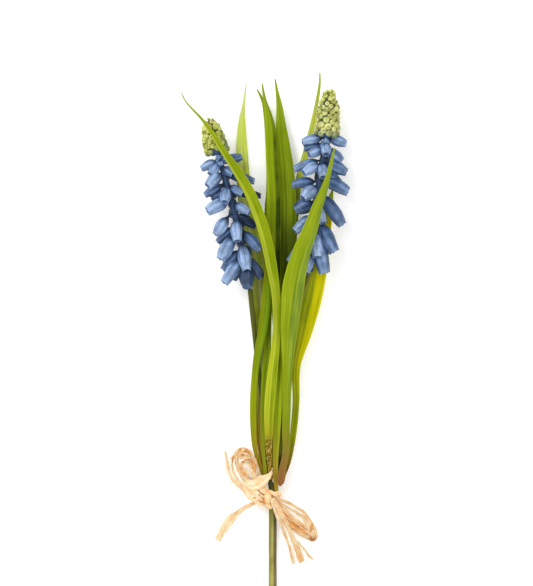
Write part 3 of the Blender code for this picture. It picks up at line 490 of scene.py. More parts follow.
def finished(obj: Object, material: Material, slot: Slot, *nodes: str) -> Object:
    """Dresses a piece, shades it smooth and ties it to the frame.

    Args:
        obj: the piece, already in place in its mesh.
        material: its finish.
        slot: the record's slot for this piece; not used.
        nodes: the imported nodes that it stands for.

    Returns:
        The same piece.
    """
    obj.data.materials.clear()
    obj.data.materials.append(material)
    select_only(obj)
    bpy.ops.object.shade_smooth_by_angle(angle=SHARP)
    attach(obj, BODY)
    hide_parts(*nodes)
    LOG.info("%s: %d faces", obj.name, len(obj.data.polygons))
    return obj


@dataclass(frozen=True)
class Wash:
    """A tint over a finish: none where some value is at low, and the most where it is at high."""

    tint: Tint
    low: float
    high: float
    most: float = 1.0


@dataclass(frozen=True)
class Shade:
    """A painted shade: a darker stretch of a leaf or stalk between other leaves, where they shade it.
    """

    # where along it the shade begins, is full, is full no more and ends
    limits: Row
    tint: Tint
    most: float


@dataclass(frozen=True)
class Grain:
    """How fine and how strong the fibres of a finish are."""

    scale: Row
    strength: float


@dataclass(frozen=True)
class Patches:
    """How small and how strong the soft patches of a finish are."""

    scale: float
    amount: float


@dataclass(frozen=True)
class Effects:
    """The node groups that more than one finish uses."""

    fibres: NodeTree
    clouds: NodeTree


class Graph:
    """Adds nodes to one node tree and links them."""

    def __init__(self, tree: NodeTree) -> None:
        """Works on this tree."""
        self.tree = tree

    def node(self, kind: str, **settings: object) -> Node:
        """A new node of this kind with these settings."""
        made = self.tree.nodes.new(kind)
        for key, value in settings.items():
            setattr(made, key, value)
        return made

    def feed(self, socket: NodeSocket, source: object) -> None:
        """Links a socket to an output, or sets it to a value."""
        if isinstance(source, NodeSocket):
            self.tree.links.new(source, socket)
        else:
            socket.default_value = source

    def math(self, operation: str, *values: object) -> NodeSocket:
        """The result of one arithmetic node."""
        made = self.node("ShaderNodeMath", operation=operation)
        for socket, value in zip(made.inputs, values):
            self.feed(socket, value)
        return made.outputs[0]

    def times(self, first: object, second: object) -> NodeSocket:
        """The product of two values."""
        return self.math("MULTIPLY", first, second)

    def mix(self, factor: object, first: object, second: object) -> NodeSocket:
        """A blend of two colours."""
        made = self.node("ShaderNodeMix", data_type="RGBA", clamp_factor=True)
        self.feed(made.inputs[0], factor)
        self.feed(made.inputs[MIX_FIRST], first)
        self.feed(made.inputs[MIX_SECOND], second)
        return made.outputs[MIX_RESULT]

    def blend(self, factor: object, first: Tint, second: Tint) -> NodeSocket:
        """A blend of two tints."""
        return self.mix(factor, linear(first), linear(second))

    def ease(self, value: object, low: float, high: float) -> NodeSocket:
        """A smooth rise from 0 at low to 1 at high; it falls where low is above high."""
        made = self.node("ShaderNodeMapRange", interpolation_type="SMOOTHSTEP")
        self.feed(made.inputs[0], value)
        ends = (1, 0) if low > high else (0, 1)
        for socket, number in zip(made.inputs[1:5], (*sorted((low, high)), *ends)):
            socket.default_value = number
        return made.outputs[0]

    def window(self, value: object, *limits: float) -> NodeSocket:
        """1 between the middle two of four limits, 0 beyond the outer two, smooth between them."""
        start, full, last, end = limits
        return self.times(self.ease(value, start, full), self.ease(value, end, last))

    def washed(self, colour: object, *layers: tuple) -> NodeSocket:
        """A colour with washes laid over it in turn.

        Args:
            colour: what they lie over.
            layers: for each a Wash, the value that it follows, and a value that weakens it where
                there is one.

        Returns:
            The last colour.
        """
        for wash, value, *weights in layers:
            share = self.times(self.ease(value, wash.low, wash.high), wash.most)
            for weight in weights:
                share = self.times(share, weight)
            colour = self.mix(share, colour, linear(wash.tint))
        return colour

    def shaded(self, colour: NodeSocket, along: NodeSocket, shade: Shade | None) -> NodeSocket:
        """A colour under a painted shade, where there is one."""
        if shade is None:
            return colour
        share = self.times(self.window(along, *shade.limits), shade.most)
        return self.mix(share, colour, linear(shade.tint))

    def attribute(self, which: Mark) -> NodeSocket:
        """One of the point attributes."""
        return self.node("ShaderNodeAttribute", attribute_name=which.value).outputs["Vector"]

    def parts(self, which: Mark) -> list[NodeSocket]:
        """The three values of one of the point attributes."""
        made = self.node("ShaderNodeSeparateXYZ")
        self.feed(made.inputs[0], self.attribute(which))
        return list(made.outputs)

    def flow(self, scale: Row) -> NodeSocket:
        """Where the fibres run, stretched."""
        made = self.node("ShaderNodeMapping")
        self.feed(made.inputs["Vector"], self.attribute(Mark.FLOW))
        made.inputs["Scale"].default_value = scale
        return made.outputs[0]

    def position(self) -> NodeSocket:
        """The place in the object, in metres."""
        return self.node("ShaderNodeTexCoord").outputs["Object"]

    def noise(self, vector: object, scale: object, detail: float) -> NodeSocket:
        """The value of one noise texture."""
        made = self.node("ShaderNodeTexNoise")
        self.feed(made.inputs["Vector"], vector)
        self.feed(made.inputs["Scale"], scale)
        made.inputs["Detail"].default_value = detail
        return made.outputs["Fac"]

    def group(self, tree: NodeTree, **values: object) -> Node:
        """A node group placed here, with its inputs set by name."""
        made = self.node("ShaderNodeGroup", node_tree=tree)
        for key, value in values.items():
            self.feed(made.inputs[key], value)
        return made

    def grained(
        self, effects: Effects, base: NodeSocket, light: object, dark: Tint, grain: Grain
    ) -> tuple[NodeSocket, NodeSocket]:
        """A base colour with light and dark fibres over it, and the height of the fibres."""
        made = self.group(
            effects.fibres, Vector=self.flow(grain.scale), Strength=grain.strength,
            Base=base, Light=light, Dark=linear(dark),
        )
        return made.outputs["Color"], made.outputs["Height"]

    def clouded(
        self, effects: Effects, colour: NodeSocket, patches: Patches, tint: Tint
    ) -> tuple[NodeSocket, NodeSocket]:
        """A colour with soft patches of a tint, and the noise that they follow."""
        made = self.group(
            effects.clouds, Color=colour, Patch=linear(tint), Scale=patches.scale,
            Amount=patches.amount,
        )
        return made.outputs["Color"], made.outputs["Value"]

    def bump(self, shader: Node, height: NodeSocket, distance: float) -> None:
        """Feeds a height to a shader's normal; full height stands out this far, in metres."""
        made = self.node("ShaderNodeBump")
        made.inputs["Distance"].default_value = distance
        self.feed(made.inputs["Height"], height)
        self.feed(shader.inputs["Normal"], made.outputs[0])


def new_group(
    name: str, inputs: dict[str, str], outputs: dict[str, str]
) -> tuple[NodeTree, Graph, Node, Node]:
    """An empty shader node group.

    Args:
        name: the name of the group.
        inputs: socket type by socket name.
        outputs: socket type by socket name.

    Returns:
        The group, a Graph on it, and its input and output nodes.
    """
    tree = bpy.data.node_groups.new(name, "ShaderNodeTree")
    for direction, sockets in (("INPUT", inputs), ("OUTPUT", outputs)):
        for label, kind in sockets.items():
            tree.interface.new_socket(label, in_out=direction, socket_type="NodeSocket" + kind)
    graph = Graph(tree)
    return tree, graph, graph.node("NodeGroupInput"), graph.node("NodeGroupOutput")


@dataclass(frozen=True)
class FibreEffect:
    """Lengthwise fibres: light and dark lines over a base colour, and their height."""

    wide_scale: float = 0.5
    fine_scale: float = 1.7
    wide_share: float = 0.45
    fine_share: float = 0.55
    dark_from: Row = (0.52, 0.34)
    light_from: Row = (0.5, 0.66)

    def tree(self) -> NodeTree:
        """Builds the node group."""
        tree, graph, given, out = new_group(
            "fibres",
            {
                "Vector": "Vector", "Strength": "Float",
                "Base": "Color", "Light": "Color", "Dark": "Color",
            },
            {"Color": "Color", "Height": "Float"},
        )
        wide = graph.times(graph.noise(given.outputs["Vector"], self.wide_scale, 1), self.wide_share)
        fine = graph.times(graph.noise(given.outputs["Vector"], self.fine_scale, 3), self.fine_share)
        value = graph.math("ADD", wide, fine)
        strength = given.outputs["Strength"]
        dark = graph.times(graph.ease(value, *self.dark_from), strength)
        light = graph.times(graph.ease(value, *self.light_from), strength)
        colour = graph.mix(dark, given.outputs["Base"], given.outputs["Dark"])
        graph.feed(out.inputs["Color"], graph.mix(light, colour, given.outputs["Light"]))
        graph.feed(out.inputs["Height"], value)
        return tree


@dataclass(frozen=True)
class CloudEffect:
    """Soft patches that change a colour a little over the whole piece."""

    detail: float = 2.0
    patch_from: Row = (0.42, 0.66)

    def tree(self) -> NodeTree:
        """Builds the node group."""
        tree, graph, given, out = new_group(
            "clouds",
            {"Color": "Color", "Patch": "Color", "Scale": "Float", "Amount": "Float"},
            {"Color": "Color", "Value": "Float"},
        )
        value = graph.noise(graph.position(), given.outputs["Scale"], self.detail)
        share = graph.times(graph.ease(value, *self.patch_from), given.outputs["Amount"])
        colour = graph.mix(share, given.outputs["Color"], given.outputs["Patch"])
        graph.feed(out.inputs["Color"], colour)
        graph.feed(out.inputs["Value"], value)
        return tree


def new_material(
    name: str, roughness: float, gloss: float = 0.15, sheen: float = 0.0
) -> tuple[Material, Graph, Node]:
    """A material with a Principled BSDF.

    Args:
        name: the material's name.
        roughness: how matt it is.
        gloss: the level of its mirror-like share.
        sheen: the weight of its soft sheen.

    Returns:
        The material, a Graph on its tree, and its shader node.
    """
    material = bpy.data.materials.new(name)
    material.use_nodes = True
    shader = material.node_tree.nodes["Principled BSDF"]
    shader.inputs["Roughness"].default_value = roughness
    shader.inputs["Specular IOR Level"].default_value = gloss
    shader.inputs["Sheen Weight"].default_value = sheen
    shader.inputs["Sheen Roughness"].default_value = 0.4
    return material, Graph(material.node_tree), shader


@dataclass(frozen=True)
class Speckle:
    """A rough patch of gold and brown grains on a leaf's foot."""

    # where along the leaf it begins, is full, is full no more and ends
    limits: Row = (0.006, 0.022, 0.088, 0.112)
    grain_scale: float = 1700.0
    spread_scale: float = 260.0
    spread_from: Row = (0.3, 0.46)
    brown: Wash = Wash((96, 72, 6), 0.59, 0.46)
    gold: Wash = Wash((206, 176, 92), 0.54, 0.62)

    def over(self, graph: Graph, colour: NodeSocket, along: NodeSocket) -> NodeSocket:
        """Lays the grains over the leaf's colour."""
        place = graph.position()
        grains = graph.noise(place, self.grain_scale, 1)
        spread = graph.ease(graph.noise(place, self.spread_scale, 1), *self.spread_from)
        share = graph.times(graph.window(along, *self.limits), spread)
        return graph.washed(colour, (self.brown, grains, share), (self.gold, grains, share))


@dataclass(frozen=True)
class BladeFinish:
    """The finish of one leaf: its two halves, its fibres, and its foot and tip."""

    # the two halves: each leaf's own colours, and partly painted light and shade on the two sides of
    # its fold
    left: Tint
    right: Tint
    light: Tint = (178, 192, 52)
    dark: Tint = (84, 104, 8)
    # the halves below low_reach, where they differ
    low: tuple[Tint, Tint] | None = None
    low_reach: float = 0.35
    low_blur: float = 0.08
    foot: Wash = Wash((166, 134, 42), 0.14, -0.06)
    tip: Wash = Wash((150, 168, 40), 0.85, 1.0, 0.8)
    # the middle of the fold: the default dark tint is painted shade in the fold; the leaves that give a
    # paler tint have a paler line there
    valley: Wash = Wash((88, 108, 10), 0.16, 0.0, 0.6)
    # the margins, where they aren't light
    edge: Tint | None = None
    edge_from: Row = (0.86, 1.0, 0.5)
    # painted shade where the leaves around it shade it
    shade: Shade | None = None
    speckle: Speckle | None = None
    grain: Grain = Grain((1.5, 1, 0.03), 0.5)
    patches: Patches = Patches(70.0, 0.2)
    fold_blur: float = 0.12
    foot_ragged: float = 0.12
    roughness: float = 0.42
    gloss: float = 0.06
    bump_depth: float = 0.00025

    def material(self, name: str, effects: Effects) -> Material:
        """Builds the material of this name from the shared node groups."""
        material, graph, shader = new_material(name, self.roughness, self.gloss)
        across, along, _ = graph.parts(Mark.PLACE)
        side = graph.ease(across, -self.fold_blur, self.fold_blur)
        halves = graph.blend(side, self.left, self.right)
        if self.low is not None:
            share = graph.ease(along, self.low_reach + self.low_blur, self.low_reach - self.low_blur)
            halves = graph.mix(share, halves, graph.blend(side, *self.low))
        colour, height = graph.grained(effects, halves, linear(self.light), self.dark, self.grain)
        colour, _ = graph.clouded(effects, colour, self.patches, self.light)
        from_middle = graph.math("ABSOLUTE", across)
        edge = Wash(self.edge or self.light, *self.edge_from)
        colour = graph.washed(colour, (self.valley, from_middle), (edge, from_middle))
        colour = graph.shaded(colour, along, self.shade)
        uneven = graph.math("SUBTRACT", along, graph.times(height, self.foot_ragged))
        colour = graph.washed(colour, (self.tip, along), (self.foot, uneven))
        if self.speckle is not None:
            colour = self.speckle.over(graph, colour, along)
        graph.feed(shader.inputs["Base Color"], colour)
        graph.bump(shader, height, self.bump_depth)
        return material


@dataclass(frozen=True)
class FloretFinish:
    """The finish of the bell florets: ridged blue, with painted highlights on the lighter bells and
    along their ridges, and painted shade in their grooves and throats.
    """

    base: Tint = (95, 138, 202)
    light: Tint = PALE_BLUE
    dark: Tint = DEEP_BLUE
    sheen: Tint = (190, 205, 235)
    # a painted highlight on the lightest bells
    tone_highlight: Wash = Wash(PALE_BLUE, 0.55, 1.0, 0.32)
    # a painted highlight along the ridges of the lighter bells
    ridge_highlight: Wash = Wash(PALE_BLUE, 0.35, 1.0, 0.25)
    # painted shade in the grooves between the ridges
    groove_shade: Wash = Wash(DEEP_BLUE, -0.3, -1.0, 0.55)
    # a painted highlight round the widest part of the lighter bells
    belly_highlight: Wash = Wash(PALE_BLUE, 0.42, 0.8, 0.18)
    root: Wash = Wash((10, 38, 72), 0.52, 0.16)
    # the paler rim of the mouth: partly the bell's own pale rim, partly a painted highlight on the
    # lighter bells
    rim: Wash = Wash((164, 190, 226), 0.86, 1.0, 0.7)
    # painted shade inside the mouth
    throat: Wash = Wash((86, 110, 158), 1.02, 1.2)
    grain: Grain = Grain((1.3, 1.3, 0.22), 0.3)
    patches: Patches = Patches(260.0, 0.35)
    bump_depth: float = 0.0003

    def material(self, effects: Effects) -> Material:
        """Builds the material from the shared node groups."""
        material, graph, shader = new_material("floret_skin", 0.5, 0.3, 0.2)
        shader.inputs["Sheen Tint"].default_value = linear(self.sheen)
        ridge, along, tone = graph.parts(Mark.PLACE)
        # low tones, the bells in painted shade, go to the dark blue; the highest take a painted
        # highlight
        base = graph.washed(graph.blend(tone, self.dark, self.base), (self.tone_highlight, tone))
        light = graph.blend(tone, self.base, self.light)
        colour, height = graph.grained(effects, base, light, self.dark, self.grain)
        colour = graph.washed(
            colour,
            (self.ridge_highlight, ridge, tone),
            (self.groove_shade, ridge),
            (self.belly_highlight, along, tone),
            (self.root, along),
            (self.rim, along, tone),
            (self.throat, along),
        )
        colour, _ = graph.clouded(effects, colour, self.patches, self.dark)
        graph.feed(shader.inputs["Base Color"], colour)
        graph.bump(shader, height, self.bump_depth)
        return material


@dataclass(frozen=True)
class BudFinish:
    """The finish of the bud cones: pale yellow-green, greyer and bluer towards the florets."""

    name: str = "bud_skin"
    base: Tint = (196, 198, 110)
    light: Tint = (240, 240, 164)
    dark: Tint = (112, 120, 36)
    # the buds of the highest tones, and those below 0: the buds in painted shade on a cone's right
    warm: Wash = Wash((244, 206, 128), 0.84, 0.98, 0.55)
    dull: Wash = Wash((122, 138, 96), 0.05, -0.4, 0.8)
    low: Wash = Wash((116, 138, 132), 0.22, 0.02, 0.7)
    tip: Wash = Wash((220, 226, 92), 0.6, 1.0, 0.5)
    # the gaps between the buds, a colour that the core and each bud's foot take: partly the core's own
    # colour, partly painted shade between the buds; and how they change down and up the cone
    between: Tint = (58, 80, 80)
    between_low: Wash = Wash((52, 82, 120), 0.3, 0.08)
    between_high: Row = (0.66, 0.86, 0.7)
    # from a bud's pole to its foot: its dark dimple, and where the painted shade of the gap begins
    dimple: Row = (0.22, 0.05, 0.55)
    gap: Row = (0.62, 0.86)
    patches: Patches = Patches(420.0, 0.7)
    bump_depth: float = 0.0004

    def material(self, effects: Effects) -> Material:
        """Builds the material from the shared node groups."""
        material, graph, shader = new_material(self.name, 0.55, 0.3)
        from_pole, along, tone = graph.parts(Mark.PLACE)
        colour = graph.washed(
            graph.blend(tone, self.base, self.light),
            (self.warm, tone),
            (self.dull, tone),
            (self.low, along),
            (self.tip, along),
            (Wash(self.dark, *self.dimple), from_pole),
        )
        colour, height = graph.clouded(effects, colour, self.patches, self.dark)
        between = graph.washed(
            linear(self.between),
            (self.between_low, along),
            (Wash(self.dark, *self.between_high), along),
        )
        # each bud's foot fades to the gap's colour, painted shade between the buds
        gap = graph.ease(from_pole, *self.gap)
        graph.feed(shader.inputs["Base Color"], graph.mix(gap, colour, between))
        graph.bump(shader, height, self.bump_depth)
        return material


@dataclass(frozen=True)
class StrandFinish:
    """The finish of a stalk or of raffia: a base with lengthwise fibres, and stains."""

    name: str
    base: Tint
    light: Tint
    dark: Tint
    stain: Tint
    stains: Patches
    grain: Grain
    roughness: float
    bump_depth: float
    # the tones that the stain takes up
    stained: Row = (0.3, -0.1)
    # over tones below 0; down one side, a painted highlight or painted shade across a stalk's round;
    # along both margins; and towards the far end, darker as painted shade under the leaves
    burn: Wash | None = None
    side: Wash | None = None
    rim: Wash | None = None
    end: Wash | None = None
    # the margins are plainer where the tone is high
    rim_fades: Row = (1.4, 0.2)
    # painted shade where the leaves around a stalk shade it
    shade: Shade | None = None

    def material(self, effects: Effects) -> Material:
        """Builds the material from the shared node groups."""
        material, graph, shader = new_material(self.name, self.roughness)
        across, along, tone = graph.parts(Mark.PLACE)
        layers = ((Wash(self.stain, *self.stained), tone), (self.burn, tone), (self.side, across))
        base = graph.washed(
            graph.blend(tone, self.base, self.light),
            *(layer for layer in layers if layer[0] is not None),
        )
        colour, height = graph.grained(effects, base, linear(self.light), self.dark, self.grain)
        colour, _ = graph.clouded(effects, colour, self.stains, self.stain)
        if self.rim is not None:
            beside = graph.math("ABSOLUTE", across)
            colour = graph.washed(colour, (self.rim, beside, graph.ease(tone, *self.rim_fades)))
        if self.end is not None:
            colour = graph.washed(colour, (self.end, along))
        graph.feed(shader.inputs["Base Color"], graph.shaded(colour, along, self.shade))
        graph.bump(shader, height, self.bump_depth)
        return material


def grid(name: str, across: int, rows: int) -> tuple[Object, Array, Array]:
    """A flat grid to be shaped, and each vertex's place across, from -1 to 1, and row, from 0."""
    faces = {"x_subdivisions": across, "y_subdivisions": rows - 1}
    made = named(bpy.ops.mesh.primitive_grid_add, name, size=1, **faces)
    flat = coordinates(made.data)
    return made, flat[:, 0] * 2, np.rint((flat[:, 1] + 0.5) * (rows - 1)).astype(int)


def ball(name: str, segments: int, rings: int) -> Object:
    """A sphere to be shaped, one unit in radius."""
    add = bpy.ops.mesh.primitive_uv_sphere_add
    return named(add, name, segments=segments, ring_count=rings, radius=1)


def sheet_from_grid(
    name: str,
    spine: Array,
    sides: Array,
    across: int,
    height: Callable[[Array, Array], Array],
    tone: float,
    seed: float,
) -> Object:
    """A long thin surface along a spine, shaped from a grid.

    Args:
        name: the object's name.
        spine: x, y, z and full width of each row, in millimetres.
        sides: the direction across the strip at each row.
        across: how many faces it has across.
        height: gives how far each point stands off the flat strip, from its place across (-1 to 1)
            and along (0 to 1), in millimetres.
        tone: the piece's own tone, 0 to 1.
        seed: sets its fibres apart from those of other pieces.

    Returns:
        The strip, one face thick.
    """
    made, u, row = grid(name, across, len(spine))
    v = row / (len(spine) - 1)
    normals = np.cross(sides, unit(np.gradient(spine[:, :3], axis=0)))
    beside = sides[row] * (u * (spine[row, 3] / 2))[:, None]
    above = normals[row] * height(u, v)[:, None]
    place_vertices(made.data, (spine[row, :3] + beside + above) * MM)
    mark(made.data, Mark.FLOW, u * FIBRE_SPREAD, seed, lengths_along(spine[:, :3])[row])
    mark(made.data, Mark.PLACE, u, v, tone)
    return made


def thickened(strip: Object, thickness: Values) -> Object:
    """Gives a strip its thickness below, in millimetres: one value, or one for each vertex."""
    own = np.broadcast_to(thickness, len(strip.data.vertices))
    most = float(own.max())
    weights = strip.vertex_groups.new(name="thickness")
    for index, value in enumerate(own):
        weights.add([index], float(value) / most, "REPLACE")
    modifier = strip.modifiers.new("thickness", "SOLIDIFY")
    modifier.thickness = most * MM
    modifier.offset = -1
    modifier.vertex_group = weights.name
    modifier.use_even_offset = False
    select_only(strip)
    bpy.ops.object.modifier_apply(modifier=modifier.name)
    strip.vertex_groups.clear()
    return strip


def rolled_tube(
    name: str, spine: Array, radii: Array, sides: int, tone: float = 0.5, seed: float = 0.0
) -> Object:
    """A closed tube along a spine, rolled from a grid.

    Args:
        name: the object's name.
        spine: x, y and z of each ring, in millimetres.
        radii: the radius of each ring, in millimetres.
        sides: how many faces it has round.
        tone: the piece's own tone, 0 to 1.
        seed: sets its fibres apart from those of other pieces.

    Returns:
        The tube.
    """
    made, u, ring = grid(name, sides, len(spine))
    turn = (u + 1) * math.pi
    points = spine[:, :3]
    right = level_sides(points)
    above = np.cross(right, unit(np.gradient(points, axis=0)))
    out = right[ring] * np.cos(turn)[:, None] + above[ring] * np.sin(turn)[:, None]
    place_vertices(made.data, (points[ring] + out * radii[ring][:, None]) * MM)
    x, y = np.cos(turn) * radii[ring], np.sin(turn) * radii[ring] + seed
    mark(made.data, Mark.FLOW, x, y, lengths_along(points)[ring])
    mark(made.data, Mark.PLACE, np.cos(turn), ring / (len(spine) - 1), tone)
    return closed(made)


@dataclass
class Blade:
    """One leaf: a long blade folded along its midrib, narrower and thicker at its foot."""

    # the piece is blade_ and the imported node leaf_ with this after it
    which: str
    slot: Slot
    seed: float
    finish: BladeFinish
    # along the leaf (0 to 1) and the place across it (-1 to 1) of its midrib
    midrib: tuple[Row, ...] = ((0.0, 0.0), (1.0, 0.0))
    rows: int = 110
    across: int = 12
    foot_thickness: float = 0.72
    blade_thickness: float = 0.4
    # the share of its thickness that the margins lack
    thin_margins: float = 0.55
    # where along the leaf the foot's thickness and its further fold, in degrees, fade out
    foot_thins: Row = (0.1, 0.45)
    foot_opens: Row = (0.1, 0.42)
    foot_fold: float = 16.0
    valley_softness: float = 0.02
    valley_drop: float = 0.14
    curl: float = 0.16
    curl_power: float = 3.5
    wave: float = 0.08
    waves: float = 3.2
    wave_begins: Row = (0.3, 0.6)
    rib_height: float = 0.035
    ribs: float = 2.5
    # ribs grow no further beyond this half width, in millimetres
    ribs_widest: float = 2.0
    tone: float = 0.5
    seed_step: float = 7.0

    @property
    def node(self) -> str:
        """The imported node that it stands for."""
        return "leaf_" + self.which

    def midrib_at(self, along: Array) -> Array:
        """The midrib's place across the leaf at these places along it."""
        stops, places = zip(*self.midrib)
        return np.interp(along, stops, places)

    def height(self, spine: Array, u: Array, v: Array) -> Array:
        """The fold, with a soft valley, edges that turn down a little, a slow wave and ribs.

        Args:
            spine: x, y, z and full width of each row, in millimetres.
            u: place across the leaf of each point, -1 to 1.
            v: place along the leaf of each point, 0 to 1.

        Returns:
            How far each point stands off the flat leaf, in millimetres.
        """
        half = spine[np.rint(v * (self.rows - 1)).astype(int), 3] / 2
        further = self.foot_fold * (1 - smoothstep(v, *self.foot_opens))
        rise = np.tan(np.radians(BLADE_FOLDS[self.node] + further)) * half
        valley = np.sqrt((u - self.midrib_at(v)) ** 2 + self.valley_softness) - self.valley_drop
        curl = -self.curl * np.abs(u) ** self.curl_power * half
        swing = np.sin(math.tau * (v * self.waves + self.seed))
        wave = self.wave * u * swing * half * smoothstep(v, *self.wave_begins)
        ribs = self.rib_height * np.cos(u * math.tau * self.ribs)
        return rise * valley + curl + wave + ribs * np.minimum(half, self.ribs_widest)

    def build(self, effects: Effects) -> Object:
        """Shapes the leaf and dresses it with a finish of its own."""
        name = "blade_" + self.which
        spine = smooth_rows(BLADE_ROUTES[self.node], self.rows)
        sides = level_sides(spine[:, :3])
        seed = self.seed * self.seed_step
        made = sheet_from_grid(
            name, spine, sides, self.across, partial(self.height, spine), self.tone, seed
        )
        u, v, tone = marked(made.data, Mark.PLACE).T
        middle = self.midrib_at(v)
        from_midrib = (u - middle) / np.where(u < middle, 1 + middle, 1 - middle)
        mark(made.data, Mark.PLACE, from_midrib, v, tone)
        more = (self.foot_thickness - self.blade_thickness) * (1 - smoothstep(v, *self.foot_thins))
        thickened(made, (self.blade_thickness + more) * (1 - self.thin_margins * u**2))
        skin = self.finish.material(name + "_skin", effects)
        return finished(made, skin, self.slot, self.node)


@dataclass
class Floret:
    """The model of one bell: from a ring at its root out to a toothed rim and into its throat."""

    sides: int = 24
    ridges: int = 6
    # share of the length, share of the half width
    outside: tuple[Row, ...] = (
        (0.0, 0.17), (0.1, 0.18), (0.17, 0.26), (0.22, 0.52), (0.31, 0.82), (0.44, 1.0),
        (0.6, 1.06), (0.75, 1.0), (0.88, 0.85), (0.96, 0.74), (1.0, 0.71),
    )
    inside: tuple[Row, ...] = (
        (0.998, 0.62), (0.985, 0.5), (0.965, 0.4), (0.95, 0.24), (0.945, 0.02),
    )
    # what each ring of the throat adds to the place along the bell
    throat_step: float = 0.08
    # its six facets: where they set in, how strong they are there, and where they flatten
    facets_begin: Row = (0.2, 0.42)
    facet_share: float = 0.65
    facets_end: Row = (0.8, 1.0)
    facet_loss: float = 0.3
    facet_width: float = 1.07
    # its teeth: where they rise to the rim and fade inside, and how far they stand out and up
    teeth_rise: Row = (0.9, 1.0)
    teeth_fade: Row = (1.0, 1.2)
    tooth_flare: float = 0.02
    tooth_height: float = 0.012
    tone: float = 0.5

    def turned_profile(self) -> Object:
        """The plain round bell, extruded ring by ring from a circle."""
        steps = self.outside + self.inside
        ring = {"vertices": self.sides, "radius": steps[0][1], "location": (0, 0, 0)}
        made = named(bpy.ops.mesh.primitive_circle_add, "bell", enter_editmode=True, **ring)
        for (low, thin), (high, wide) in zip(steps, steps[1:]):
            bpy.ops.mesh.extrude_region_move(TRANSFORM_OT_translate={"value": (0, 0, high - low)})
            scale = wide / thin
            bpy.ops.transform.resize(value=(scale, scale, 1), center_override=(0, 0, high))
        bpy.ops.object.mode_set(mode="OBJECT")
        return made

    def build(self) -> Object:
        """Models the bell along +Z, one unit long and one unit in half width."""
        made = self.turned_profile()
        points = coordinates(made.data)
        ring = np.arange(len(points)) // self.sides
        last = len(self.outside) - 1
        turn = np.arctan2(points[:, 1], points[:, 0])
        lobe = np.cos(turn * self.ridges)
        along = np.where(ring <= last, points[:, 2], 1 + (ring - last) * self.throat_step)
        outer = smoothstep(points[:, 2], *self.facets_begin) * (ring <= last)
        outer *= self.facet_share - self.facet_loss * smoothstep(points[:, 2], *self.facets_end)
        facet = math.tau / self.ridges
        hexagon = math.cos(facet / 2) / np.cos(np.mod(turn, facet) - facet / 2)
        tooth = smoothstep(along, *self.teeth_rise) * (1 - smoothstep(along, *self.teeth_fade)) * lobe
        width = (1 + outer * (hexagon * self.facet_width - 1)) * (1 + self.tooth_flare * tooth)
        points[:, :2] *= width[:, None]
        points[:, 2] += self.tooth_height * tooth
        place_vertices(made.data, points)
        mark(made.data, Mark.PLACE, lobe, along, self.tone)
        return closed(made)


